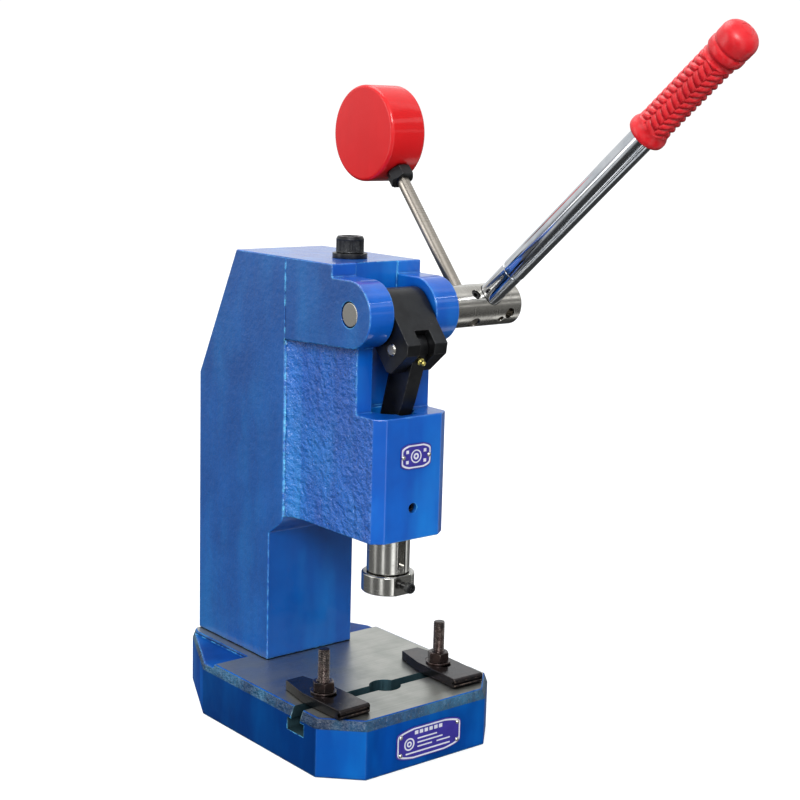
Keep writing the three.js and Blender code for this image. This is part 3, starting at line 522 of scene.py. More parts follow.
def printed(name, colour, deep):
    """A printed metal sheet under clear lacquer."""
    material, shader, place = start_material(
        name, **{"Metallic": 0.25, "Coat Weight": 0.6, "Coat Roughness": 0.12}
    )
    ink = mixed(patches(place, 120.0, 4.0, 0.35, 0.7), linear(*colour), linear(*deep))
    gloss = patches(place, 400.0, 4.0, 0.3, 0.7, 0.3, 0.45)
    dress(shader, ink, gloss, (noise(place, 600.0, 3.0), 0.1, 0.0001))
    return material


THIN_BLUE = (10, 118, 200)
BLUE = enamel("blue_enamel", (1, 88, 182), (0, 68, 156), THIN_BLUE)
BLUE_CAST = enamel("blue_enamel_rough", (4, 92, 184), (2, 66, 148), THIN_BLUE, cast=0.0045, coat=1.0)
# A lighter copy of the rough blue: painted highlight on the fillet strips that face the light.
BLUE_FILLET_LIT = enamel(
    "blue_enamel_fillet_lit", (11, 98, 182), (3, 76, 158), (34, 134, 202), cast=0.0035, coat=1.0
)
# A darker, greyer copy of the blue: painted shade and a painted grey reflection on the flat sides.
BLUE_SIDE_SHADED = enamel("blue_enamel_side_shaded", (16, 81, 152), (8, 65, 130), (20, 95, 160), cast=0.0004)
# A darker copy of the blue: painted shadow of the head on the column front below it.
BLUE_SHADOWED = enamel("blue_enamel_shadowed", (1, 78, 156), (0, 61, 134), (8, 100, 172))
# A darker copy of the blue for the whole base: painted shade for the dimmer light low down on the press.
BASE_BLUE_SHADED = enamel("base_enamel", (0, 62, 140), (0, 48, 112), (4, 92, 170), coat=0.15)
# A lighter copy of the base blue: painted highlight on the corner chamfers that face the light.
BASE_CHAMFER_LIT = enamel("base_enamel_corner_lit", (2, 80, 160), (0, 62, 136), (8, 108, 182), coat=0.3)
# A darker copy of the base blue: painted shade on the flat sides.
BASE_SIDE_SHADED = enamel("base_enamel_side_shaded", (0, 48, 108), (0, 38, 92), (2, 70, 132), coat=0.12)
BASE_ROUGH = enamel(
    "base_enamel_rough", (14, 60, 98), (3, 28, 54), (50, 112, 146), (150, 190, 205), cast=0.003, coat=0.6
)
TABLE = machined("ground_iron", (180, 180, 174), 1, 0.32, 0.04, (164, 166, 160))
SLOT_IRON = machined("slot_iron", (86, 118, 126), 1, 0.5, 0.3, (48, 76, 88))
TURNED_X = machined("turned_steel_x", (206, 202, 194), 0, 0.2, 0.04)
TURNED_Z = machined("turned_steel_z", (206, 204, 198), 2, 0.17, 0.04)
CHROME = chrome_plate("chrome_plate")
ROD_STEEL = machined("rod_steel", (176, 168, 158), 2, 0.26, 0.08)
BLACK = black_oxide("black_oxide", (40, 41, 43), (30, 30, 32), (120, 120, 118))
BROWN_BLACK = black_oxide("black_oxide_brown", (42, 36, 36), (70, 52, 48), (170, 156, 146), 0.26)
BAR_BLACK = black_oxide("black_oxide_bar", (30, 29, 32), (50, 40, 39), (156, 136, 122), 0.2)
BRONZE = machined("bronze", (176, 132, 78), 0, 0.35)
BRASS = machined("brass", (206, 192, 110), 1, 0.25)
RED = enamel("red_enamel", (198, 17, 22), (188, 12, 16), (206, 22, 26), (236, 120, 120), coat=0.55)
GRIP = moulded("red_grip", (206, 24, 34), (186, 16, 26))
LABEL = printed("label_purple", (58, 48, 152), (48, 40, 138))
LABEL_WHITE = printed("label_white", (226, 226, 236), (206, 208, 222))


def paint(piece, material, test):
    """Gives a material to the faces that pass a test of their centre, in the drawing, and their normal."""
    back = DRAWING.inverted()
    index = list(piece.data.materials).index(material)
    for face in piece.data.polygons:
        if test(back @ face.center, face.normal):
            face.material_index = index


# ---- base ---------------------------------------------------------------

BASE_X, BASE_Y, BASE_Z = span("base_plate")
BASE_HALF = BASE_X[1]
BASE_TOP = BASE_Z[1]
BASE_CORNER = 28.5
BASE_TAPER_START = 190
BASE_TAIL_HALF = 53
BASE_TAIL_CORNER = 4
BASE_ROUNDING = 1.1
BASE_BEVEL_HEIGHT = 8
BASE_BEVEL_INSET = 2.8
SLOT_NECK = 12
SLOT_WIDE = 22
SLOT_FLOOR = 28
SLOT_CEILING = 38
DIE_HOLE = 13
SHELF_FRONT = 177
SHELF_INNER = 54
SHELF_DROP = 3
FOOT_POCKET_HALF = 44
FOOT_POCKET_Y = (158, 262)
FOOT_POCKET_TOP = 30
FACING = 0.9  # a face looks along an axis when its normal has more than this of it


def base_outline():
    right = [
        (BASE_HALF - BASE_CORNER, 0),
        (BASE_HALF, BASE_CORNER),
        (BASE_HALF, BASE_TAPER_START),
        (BASE_TAIL_HALF, BASE_Y[1] - BASE_TAIL_CORNER),
        (BASE_TAIL_HALF - BASE_TAIL_CORNER, BASE_Y[1]),
    ]
    return right + mirrored(right)


def inset(points, distance):
    """An outline moved inwards by a distance, with mitred corners; it runs counter-clockwise."""
    moved = []
    for i, here in enumerate(points):
        before, after = Vector(points[i - 1]), Vector(points[(i + 1) % len(points)])
        here = Vector(here)
        first = (here - before).normalized()
        second = (after - here).normalized()
        inward = Vector((-first.y, first.x)) + Vector((-second.y, second.x))
        moved.append(tuple(here + inward * distance / (1 + first.dot(second))))
    return moved


def make_base():
    outline = base_outline()
    block = loft([
        (outline, 0),
        (outline, BASE_TOP - BASE_BEVEL_HEIGHT),
        (inset(outline, BASE_BEVEL_INSET), BASE_TOP),
    ])
    far = BASE_HALF + PAST
    high = BASE_TOP + PAST
    shelves = [
        box((side * SHELF_INNER, side * far)[::side], (SHELF_FRONT, BASE_Y[1] + PAST),
            (BASE_TOP - SHELF_DROP, high))
        for side in (-1, 1)
    ]
    foot_pocket = box((-FOOT_POCKET_HALF, FOOT_POCKET_HALF), FOOT_POCKET_Y, (-1, FOOT_POCKET_TOP))
    cast = rounded(cut(block, *shelves, foot_pocket), BASE_ROUNDING)
    neck = box((-far, far), (PRESS_Y - SLOT_NECK / 2, PRESS_Y + SLOT_NECK / 2), (SLOT_FLOOR, high))
    wide = box((-far, far), (PRESS_Y - SLOT_WIDE / 2, PRESS_Y + SLOT_WIDE / 2), (SLOT_FLOOR, SLOT_CEILING))
    hole = rod("z", DIE_HOLE, -PAST, high, (0, PRESS_Y))
    piece = make("base_casting", cut(cast, joined(neck, wide, hole)),
                 (BASE_BLUE_SHADED, TABLE, SLOT_IRON, BASE_ROUGH, BASE_CHAMFER_LIT, BASE_SIDE_SHADED), "frame", ["base_plate"],
                 bevel=0.25, smooth=40, flat=True)
    ground = BASE_TOP - 0.05
    near = 0.1

    def in_slot(spot, normal):
        across = abs(spot.y - PRESS_Y) <= SLOT_WIDE / 2 + near and abs(spot.x) < BASE_HALF - near
        down_hole = math.hypot(spot.x, spot.y - PRESS_Y) < DIE_HOLE + near
        return (across or down_hole) and 1 < spot.z < ground

    def on_bevel(spot, normal):
        return 0.15 < normal.z < 0.6 and spot.z > BASE_TOP - BASE_BEVEL_HEIGHT - 1

    # Painted shade: the flat sides get the darker copy of the blue.
    paint(piece, BASE_SIDE_SHADED, lambda spot, normal: abs(normal.x) > FACING and normal.z < 0.1)
    # Painted highlight: the front corner chamfers get the lighter copy of the blue.
    paint(piece, BASE_CHAMFER_LIT, lambda spot, normal: abs(normal.x) > 0.5 and normal.y < -0.5)
    paint(piece, BASE_ROUGH, on_bevel)
    paint(piece, TABLE, lambda spot, normal: normal.z > 0.99 and spot.z > ground)
    paint(piece, SLOT_IRON, in_slot)


# ---- column and head ----------------------------------------------------

COLUMN_X, COLUMN_Y, COLUMN_Z = span("column_casting")
COLUMN_HALF = COLUMN_X[1]
COLUMN_FRONT = 160
UPPER_FRONT = 140
OVERHANG = 160
SLOPE_START = 282
TOP_BACK = 212
CAP_FRONT = 78
BOSS = 26.5
EAR_BOTTOM = 327
HEAD_HALF = 37
HEAD_FRONT = COLUMN_Y[0]
HEAD_FRONT_HALF = 27.5
HEAD_CHAMFER = 33
HEAD_BOTTOM = 178
LEDGE = 278
CHEEK_FRONT = 54
POCKET_HALF = 21
POCKET_BACK = 79
WEB_FILLET = 119
COLUMN_ROUNDING = 1.2
PARTING_DEPTH = 0.45
PARTING_HALF = 0.6
SHAFT_BORE = 10.4
BUSH_SEAT = 13.1
BUSH_END = 40.3
SCREW_BORE = 4.1
LINK_NOTCH = (8.5, 4.5, 20)  # half width, reach in front of the bore, depth
TOP_HOLE = (7.1, 16)  # radius, depth
TOP_BOLT = centre("top_bolt")
GUIDE_Z = centre("ram_guide_screw").z
RAM_X, _, RAM_Z = span("ram")
RAM_RADIUS = RAM_X[1]


def column_side():
    """The column, its top and its ears from the side, in Y and Z."""
    return [
        (COLUMN_FRONT, COLUMN_Z[0]),
        (COLUMN_Y[1], COLUMN_Z[0]),
        (COLUMN_Y[1], SLOPE_START),
        (TOP_BACK, COLUMN_Z[1]),
        (CAP_FRONT, COLUMN_Z[1]),
        (CAP_FRONT, SHAFT.z + BOSS),
        *arc(SHAFT.y, SHAFT.z, BOSS, 90, 270, 48),
        (UPPER_FRONT, EAR_BOTTOM),
        (UPPER_FRONT, HEAD_BOTTOM),
        (UPPER_FRONT + 3, HEAD_BOTTOM - 6),
        (COLUMN_FRONT, OVERHANG),
    ]


def web_plan(front):
    """Plan view of the narrower web, which meets the column in concave fillets."""
    steps = 10
    widening = COLUMN_HALF - HEAD_HALF
    depth = UPPER_FRONT - WEB_FILLET
    turns = [math.pi / 2 * i / steps for i in range(steps)]
    fillet = [
        (COLUMN_HALF - widening * math.cos(a), WEB_FILLET + depth * math.sin(a)) for a in turns
    ]
    right = front + fillet + [(COLUMN_HALF, UPPER_FRONT + 5)]
    return right + mirrored(right)


def make_column():
    lower = web_plan([(HEAD_FRONT_HALF, HEAD_FRONT), (HEAD_HALF, HEAD_CHAMFER)])
    cheeks = web_plan([(HEAD_HALF, CHEEK_FRONT)])
    body = joined(
        side_view(column_side(), -COLUMN_HALF, COLUMN_HALF),
        prism(lower, HEAD_BOTTOM, LEDGE),
        prism(cheeks, LEDGE - 1, EAR_BOTTOM + 10),
    )
    top = COLUMN_Z[1]
    pocket_wide, pocket_high = (-POCKET_HALF, POCKET_HALF), (LEDGE, top + PAST)
    cast = rounded(cut(body, box(pocket_wide, (0, CAP_FRONT - 3), pocket_high)), COLUMN_ROUNDING, 32)
    inner, outer = COLUMN_HALF - PARTING_DEPTH, COLUMN_HALF + 1
    parting_lines = [
        box(side, (UPPER_FRONT - PARTING_HALF, UPPER_FRONT + PARTING_HALF), (EAR_BOTTOM - 4, top + 1))
        for side in ((-outer, -inner), (inner, outer))
    ]
    notch_half, notch_reach, notch_depth = LINK_NOTCH
    hole_radius, hole_depth = TOP_HOLE
    machined_parts = cut(
        cast,
        box(pocket_wide, (CHEEK_FRONT + 5, POCKET_BACK), pocket_high),
        *parting_lines,
        rod("z", RAM_RADIUS + 0.08, OVERHANG - 10, LEDGE + PAST, (0, PRESS_Y), FINE),
        rod("x", SHAFT_BORE, -60, 60, (SHAFT.y, SHAFT.z)),
        rod("x", BUSH_SEAT, -BUSH_END, BUSH_END, (SHAFT.y, SHAFT.z)),
        box((-notch_half, notch_half), (PRESS_Y - RAM_RADIUS - notch_reach, PRESS_Y),
            (LEDGE - notch_depth, LEDGE + PAST)),
        rod("y", SCREW_BORE, 0, PRESS_Y - 10, (0, GUIDE_Z), SMALL),
        rod("z", hole_radius, top - hole_depth, top + PAST, (0, TOP_BOLT.y), SMALL),
    )
    piece = make("column_and_head", machined_parts, (BLUE, BLUE_CAST, BLUE_SIDE_SHADED, BLUE_FILLET_LIT, BLUE_SHADOWED),
                 "frame", ["column_casting"], bevel=0.35, smooth=38, flat=True)
    flank = COLUMN_HALF - 0.3

    def web_side(spot, normal):
        along_web = HEAD_CHAMFER < spot.y < UPPER_FRONT + 1 and HEAD_HALF - 2 < abs(spot.x) < flank
        return abs(normal.x) > 0.3 and along_web

    # The column front under the overhang, which gets the painted shadow.
    def shadowed_front(spot, normal):
        return normal.y < -FACING and spot.y > COLUMN_FRONT - 1 and spot.z < OVERHANG

    paint(piece, BLUE_CAST, web_side)
    # Painted highlight: the fillet strips get the lighter copy of the blue.
    paint(piece, BLUE_FILLET_LIT, lambda spot, normal: web_side(spot, normal) and abs(spot.x) > HEAD_HALF + 0.5)
    # Painted shade: the flat outer sides get the darker, greyer copy of the blue.
    paint(piece, BLUE_SIDE_SHADED, lambda spot, normal: abs(normal.x) > FACING and abs(spot.x) > flank)
    # Painted shadow: the column front under the head gets the darker copy of the blue.
    paint(piece, BLUE_SHADOWED, shadowed_front)


# ---- screws, nuts and washers -------------------------------------------

def knurled(radius, teeth, depth):
    """A round outline with every other point pulled in by a depth."""
    turns = [math.pi * i / teeth for i in range(2 * teeth)]
    reach = (radius, radius - depth)
    return [(reach[i % 2] * math.cos(a), reach[i % 2] * math.sin(a)) for i, a in enumerate(turns)]


def cap_screw(shank, shank_length, head, height, socket):
    """A socket-head screw along +Z with its head's underside at z = 0."""
    teeth = 48
    knurl = head * 0.035
    body = loft([
        (knurled(head - 0.4, teeth, 0), 0),
        (knurled(head, teeth, 0), height * 0.05),
        (knurled(head, teeth, knurl), height * 0.12),
        (knurled(head, teeth, knurl), height * 0.76),
        (knurled(head, teeth, 0), height * 0.84),
        (knurled(head * 0.9, teeth, 0), height),
    ])
    tip = [(0, -shank_length), (shank - 0.6, -shank_length), (shank, 0.6 - shank_length)]
    stem = turned([*tip, (shank, 0.5), (0, 0.5)], SMALL)
    sink = socket * 0.62
    recess = turned([(0, height * 0.4), (sink, height - 0.5), (sink, height + 1), (0, height + 1)], SMALL)
    rim = prism(hexagon(socket * 1.08), height - 0.6, height + 2)
    key = prism(hexagon(socket), height * 0.45, height + 1)
    return cut(joined(body, stem), key, combined(recess, [rim], "INTERSECT"))


def threaded(radius, pitch, bottom, top, plain):
    """A rod with a real helical thread above a plain length, cut away towards its top end."""
    sides, rows_to_a_turn = 36, 6
    rows = int((top - bottom) / pitch * rows_to_a_turn)
    rings = []
    for row in range(rows + 1):
        z = bottom + (top - bottom) * row / rows
        taper = min(1.0, (top - z) / pitch + 0.25)
        depth = pitch / 2 * min(1.0, max(0.0, (z - bottom - plain) / pitch))
        loop = []
        for i in range(sides):
            groove = abs(2 * ((z / pitch - i / sides) % 1.0) - 1)
            reach = radius * (0.9 + 0.1 * taper) - depth * groove
            loop.append(round_point(reach, 2 * math.pi * i / sides, z))
        rings.append(loop)
    return skinned(rings)


def set_screw(radius, length, socket):
    """A headless screw along +Z from z = 0, with its socket at the top."""
    body = turned([
        (0, 0), (radius - 0.8, 0), (radius, 0.8), (radius, length - 0.5), (radius - 0.5, length), (0, length),
    ], MEDIUM)
    return cut(body, prism(hexagon(socket), length - 3.5, length + 1))


def chamfered(radius, start, end, chamfer, sides=MEDIUM):
    """A round bar along +Z with chamfered ends."""
    tip = radius - chamfer
    return turned([
        (0, start), (tip, start), (radius, start + chamfer),
        (radius, end - chamfer), (tip, end), (0, end),
    ], sides)


def washer(outer, inner, thickness):
    return rounded(ring(outer, inner, 0, thickness), 0.3)


def hex_nut(across, hole, height):
    """A nut chamfered at both ends, with a countersunk hole."""
    tip = across / 2 - 0.4
    wide = across / 2 + 6
    cone = turned([
        (0, -3), (tip, -0.05), (wide, 3.3), (wide, height - 3.3), (tip, height + 0.05), (0, height + 3),
    ], FINE)
    body = combined(prism(hexagon(across), 0, height), [cone], "INTERSECT")
    mouth = height + 0.4
    sink = turned([(0, height - 1), (hole, height - 0.9), (hole + 1.3, mouth), (0, mouth)], SMALL)
    return cut(body, rod("z", hole, -1, height + 1, (0, 0), SMALL), sink)


FLIP = Matrix.Rotation(math.pi, 4, "X")
FACE_FRONT = Matrix.Rotation(math.pi / 2, 4, "X")
FACE_RIGHT = Matrix.Rotation(math.pi / 2, 4, "Y")


def make_top_bolt():
    low, high = span("top_bolt_washer")[2]
    disc = placed(washer(14.2, 7.6, high - low), at(0, TOP_BOLT.y, low))
    make("top_washer", disc, BLACK, "frame", ["top_bolt_washer"])
    head_low = high + 0.05
    (x_low, x_high), _, (_, top) = span("top_bolt")
    screw = placed(cap_screw(6.8, 17, (x_high - x_low) / 2, top - head_low, 12), at(0, TOP_BOLT.y, head_low))
    make("top_screw", screw, BLACK, "frame", ["top_bolt"], bevel=0.15)


def make_column_bolts():
    shank, head, head_height, socket = 4.9, 8, 10, 8
    for name in ("front_left", "front_right", "rear_left", "rear_right"):
        spot = centre(f"column_bolt_{name}")
        low, high = span(f"column_bolt_{name}")[2]
        screw = placed(cap_screw(shank, high - low - head_height, head, head_height, socket),
                       at(spot.x, spot.y, low + head_height) @ FLIP)
        make(f"foot_screw_{name}", screw, BLACK, "frame", [f"column_bolt_{name}"], bevel=0.15)


# ---- cross shaft, yoke, link --------------------------------------------

SHAFT_X = span("cross_shaft")[0]
HEAD_START = 49.3
SHAFT_RADIUS = 10
SHAFT_HEAD = 17.4
SET_SCREW = (3.9, 4)  # radius, socket
ROD_RADIUS = 5.3
LEVER_SEAT = (9.9, 9.5)  # radius, distance of its floor from the shaft's axis
SPARE_HOLE = (109.5, math.radians(112))  # place along the shaft, lean
SMALL_HOLE = (101.5, math.radians(129))
YOKE_LENGTH = (SHAFT - KNEE).length
YOKE_RADIUS = 19
YOKE_HALF = span("yoke")[0][1]
LINK_LENGTH = (KNEE - RAM_PIN).length
LINK_RADIUS = 12.5
LINK_FOOT_RADIUS = 9.5
LINK_HALF = span("lower_link")[0][1]
FORK_HALF = 7.2
PIN_RADIUS = 5


def make_shaft():
    lever_lean = lean(SHAFT, LEVER_TUBE)
    start, end = SHAFT_X
    profile = [
        (0, start), (SHAFT_RADIUS - 0.8, start), (SHAFT_RADIUS, start + 0.8), (SHAFT_RADIUS, HEAD_START),
        (SHAFT_HEAD - 1, HEAD_START), (SHAFT_HEAD, HEAD_START + 1), (SHAFT_HEAD, end - 1.2),
        (SHAFT_HEAD - 1.2, end), (0, end),
    ]
    through = 30
    seat_radius, seat_floor = LEVER_SEAT
    holes = [
        (WEIGHT.x, lean(SHAFT, WEIGHT), ROD_RADIUS + 0.3, -through, SMALL),
        (WEIGHT.x, lever_lean, SCREW_BORE, 0, SMALL),
        (LEVER_TUBE.x, lever_lean, seat_radius, seat_floor, ROUND),
        (*SPARE_HOLE, 4.6, -through, SMALL),
        (*SMALL_HOLE, 2.6, 11, SMALL),
    ]
    drills = [
        placed(rod("z", radius, floor, through, (0, 0), sides), at(x, 0, 0) @ Matrix.Rotation(angle, 4, "X"))
        for x, angle, radius, floor, sides in holes
    ]
    drilled = placed(cut(placed(turned(profile, FINE), FACE_RIGHT), *drills), Matrix.Translation(SHAFT))
    make("turned_shaft", drilled, TURNED_X, "lever", ["cross_shaft"], bevel=0.35)
    low, high = span("thrust_washer")[0]
    disc = placed(washer(18.6, 10.3, high - low), at(low, SHAFT.y, SHAFT.z) @ FACE_RIGHT)
    make("side_washer", disc, TURNED_X, "lever", ["thrust_washer"])
    radius, socket = SET_SCREW
    screw = placed(set_screw(radius, 10.4, socket), radial(WEIGHT.x, lever_lean) @ at(0, 0, 5.9))
    make("rod_screw", screw, BLACK, "lever", ["counterweight_rod_screw"])


def make_yoke():
    block = [(-19, -42.8), (-12.6, -48.5), (12, -48.5), (16, -44.5), *arc(0, 0, YOKE_RADIUS, 32.6, 180, 32)]
    fork = [(-22, -60), (-22, -30), (-10.5, -30), (-7.5, -22), (17.5, -8.6), (25, -8.6), (25, -60)]
    key_half, key_top = 3.05, 13.1
    body = cut(
        side_view(block, -YOKE_HALF, YOKE_HALF),
        side_view(fork[::-1], -FORK_HALF, FORK_HALF),
        rod("x", LINK_RADIUS + 0.9, -FORK_HALF, FORK_HALF, (0, -YOKE_LENGTH)),
        rod("x", SHAFT_RADIUS + 0.06, -30, 30, (0, 0)),
        rod("x", PIN_RADIUS + 0.06, -30, 30, (0, -YOKE_LENGTH), SMALL),
        box((-YOKE_HALF - 1, YOKE_HALF + 1), (-key_half, key_half), (0, key_top)),
    )
    make("toggle_yoke", body, BLACK, "lever", ["yoke"], bevel=0.5, segments=3, place=YOKE_FRAME)
    half = span("knee_pin")[0][1]
    pin = placed(chamfered(PIN_RADIUS, -half, half, 1.1), Matrix.Translation(KNEE) @ FACE_RIGHT)
    make("toggle_pin", pin, TURNED_X, "lever", ["knee_pin"])


def make_link():
    profile = [
        *arc(0, 0, LINK_RADIUS, 0, 180, 32), (-LINK_RADIUS, -42),
        *arc(0, -LINK_LENGTH, LINK_FOOT_RADIUS, 180, 360, 24),
    ]
    body = cut(
        side_view(profile, -LINK_HALF, LINK_HALF),
        rod("x", PIN_RADIUS + 0.08, -20, 20, (0, 0), SMALL),
        rod("x", PIN_RADIUS + 0.06, -20, 20, (0, -LINK_LENGTH), SMALL),
    )
    make("toggle_link", body, BLACK, "link", ["lower_link"], bevel=0.5, segments=3, place=LINK_FRAME)
    nipple = turned([
        (0, -2), (2, -2), (2, 0.2), (3, 0.2), (3, 1.9), (1.9, 2.4), (1.5, 3), (1.5, 3.6), (2.2, 4.3),
        (2.2, 5), (1.5, 6.1), (0.8, 6.4), (0.6, 6.1), (0, 6.1),
    ], SMALL)
    seat = LINK_FRAME @ at(0, -LINK_RADIUS - 0.2, -5) @ FACE_FRONT
    make("nipple", nipple, BRASS, "link", ["grease_nipple"], place=seat)
    pin = placed(chamfered(PIN_RADIUS, *span("ram_pin")[0], 0.8), Matrix.Translation(RAM_PIN) @ FACE_RIGHT)
    make("lower_pin", pin, TURNED_X, "link", ["ram_pin"])


# ---- ram ----------------------------------------------------------------

RAM_BOTTOM, RAM_TOP = RAM_Z
RAM_SPIGOT = 14
COLLAR_X, (COLLAR_FRONT, _), (COLLAR_BOTTOM, COLLAR_TOP) = span("ram_collar")
COLLAR_RADIUS = COLLAR_X[1]
TOOL_BORE = (8, 36)  # radius, depth
TOOL_SCREW_Z = centre("tool_clamp_screw").z
KEYWAY = (152, 246)
KEYWAY_HALF = 3.3
PIN_SEAT_RADIUS = 5.8
PIN_SEAT_BACK = 7


def make_ram():
    shoulder = COLLAR_TOP + 0.1
    middle = at(0, PRESS_Y, 0)
    bar = placed(turned([
        (0, RAM_BOTTOM), (RAM_SPIGOT, RAM_BOTTOM), (RAM_SPIGOT, shoulder), (RAM_RADIUS - 0.8, shoulder),
        (RAM_RADIUS, shoulder + 0.8), (RAM_RADIUS, RAM_TOP - 1), (RAM_RADIUS - 1, RAM_TOP), (0, RAM_TOP),
    ], FINE), middle)
    low, high = KEYWAY[0] + KEYWAY_HALF, KEYWAY[1] - KEYWAY_HALF
    front = PRESS_Y - RAM_RADIUS
    ends = [*arc(0, low, KEYWAY_HALF, 180, 360, 16), *arc(0, high, KEYWAY_HALF, 0, 180, 16)]
    keyway = front_view(ends, front - 2, front + 4)
    back = PRESS_Y + PIN_SEAT_RADIUS + PIN_SEAT_BACK
    seat = side_view([
        *arc(PRESS_Y, RAM_PIN.z, PIN_SEAT_RADIUS, 180, 330, 20), (back, RAM_PIN.z + 3.5),
        (back, RAM_TOP + 1), (PRESS_Y - PIN_SEAT_RADIUS, RAM_TOP + 1),
    ], -20, 20)
    bore, depth = TOOL_BORE
    body = cut(
        bar,
        box((-FORK_HALF, FORK_HALF), (0, 100), (RAM_PIN.z - 14, RAM_TOP + 1)),
        seat,
        keyway,
        rod("z", bore, 0, RAM_BOTTOM + depth, (0, PRESS_Y), MEDIUM),
        rod("y", 2.8, 0, PRESS_Y, (0, TOOL_SCREW_Z), SMALL),
    )
    make("ground_ram", body, TURNED_Z, "ram", ["ram"], bevel=0.25)
    clamp = cut(
        placed(chamfered(COLLAR_RADIUS, COLLAR_BOTTOM, COLLAR_TOP, 1, FINE), middle),
        rod("z", RAM_SPIGOT + 0.06, 0, 200, (0, PRESS_Y), FINE),
        box((-30, 30), (0, COLLAR_FRONT), (COLLAR_BOTTOM - 1, COLLAR_TOP + 1)),
        rod("y", 2.6, 0, PRESS_Y, (0, TOOL_SCREW_Z), SMALL),
    )
    make("tool_collar", clamp, TURNED_Z, "ram", ["ram_collar"], bevel=0.3)
    screw = placed(cap_screw(2.4, 16, 4.3, 5, 4), at(0, COLLAR_FRONT - 6, TOOL_SCREW_Z) @ FACE_FRONT)
    make("collar_screw", screw, BLACK, "tool_screw", ["tool_clamp_screw"], bevel=0.1)
    radius, socket = SET_SCREW
    guide = placed(set_screw(radius, 7.4, socket), at(0, front - 0.6, GUIDE_Z) @ FACE_FRONT)
    make("guide_screw", guide, BLACK, "frame", ["ram_guide_screw"])


# ---- lever --------------------------------------------------------------

TUBE_START = 50
TUBE_RADIUS = 10
GRIP_START = 223
GRIP_NECK = 310.5
GRIP_END = 337
GRIP_STRANDS = 8
GRIP_PITCH = 5.9
GRIP_CREST = 13.35
GRIP_RELIEF = 1.8


def braid(turn, z):
    """Height, from 0 to 1, of the grip's moulded braid at a turn (0 to 1) and a distance along it."""
    strand = turn * GRIP_STRANDS
    across = strand % 1.0
    side = 1 if int(strand) % 2 == 0 else -1
    phase = z / GRIP_PITCH + side * 0.75 * (across - 0.5) + (0.5 if side < 0 else 0.0)
    lobe = abs(math.cos(math.pi * phase)) ** 0.7
    return lobe * (0.35 + 0.65 * math.sin(math.pi * across) ** 0.5)


def make_grip():
    """A flange, the braided length and a knob, each as radii along the lever."""
    start, end = GRIP_START + 11, GRIP_NECK - 5
    sides, rows = 224, 230
    flange = [
        (10.4, 0.8), (11, 0), (14, 0), (14.9, 0.6), (15.2, 1.8), (15.2, 4), (14.8, 5.4), (14, 7),
        (13.5, 8.6), (13.3, 10.4),
    ]
    knob = [
        (12.7, -4.2), (12.5, -3.4), (12.5, -1.2), (12.9, -0.5), (13.9, 0.1), (14.5, 1.1), (14.7, 2.6),
        (14.7, 5.6), (14.3, 6.9), (13.8, 7.6), (13.7, 8.1), (14, 8.7), (14.5, 9.6), (14.6, 11), (14.6, 17),
        (14.2, 18.9), (13.3, 20.9), (12, 22.5), (10.3, 23.9), (8, 25), (5.6, 25.8), (5.3, 25.5),
        (4.9, 25.8), (2.5, 26.1),
    ]
    rings = [circle(radius, GRIP_START + z, sides) for radius, z in flange]
    for row in range(rows + 1):
        z = start + (end - start) * row / rows
        depth = GRIP_RELIEF * min(1.0, (z - start) / 2.0, (end - z) / 2.0)
        reach = [GRIP_CREST - depth * (1 - braid(i / sides, z)) for i in range(sides)]
        rings.append([round_point(reach[i], 2 * math.pi * i / sides, z) for i in range(sides)])
    rings += [circle(radius, GRIP_NECK + z, sides) for radius, z in knob]
    make("moulded_grip", skinned(rings), GRIP, "lever", ["lever_grip"], place=LEVER_FRAME, smooth=60)


def make_lever():
    start, end = TUBE_START, GRIP_END - 14
    stub = turned([
        (0, 10), (9.6, 10), (9.6, start - 1.0), (9.2, start - 0.5), (8.2, start - 0.4),
        (8, start + 2), (0, start + 2),
    ], FINE)
    make("lever_stub", stub, CHROME, "lever", ["lever_rod"], place=LEVER_FRAME)
    tube = turned([
        (0, start), (TUBE_RADIUS - 0.6, start), (TUBE_RADIUS, start + 0.6), (TUBE_RADIUS, end), (0, end),
    ], FINE)
    make("lever_barrel", tube, CHROME, "lever", ["lever_tube"], place=LEVER_FRAME)
    make_grip()


# ---- counterweight ------------------------------------------------------

WEIGHT_RADIUS = 40.5
WEIGHT_HALF = 18.25
WEIGHT_EDGE = 3.2
WEIGHT_DISTANCE = math.hypot(WEIGHT.y - SHAFT.y, WEIGHT.z - SHAFT.z)
WEIGHT_RIM = WEIGHT_DISTANCE - WEIGHT_RADIUS
LOCK_SCREW_TURN = 21


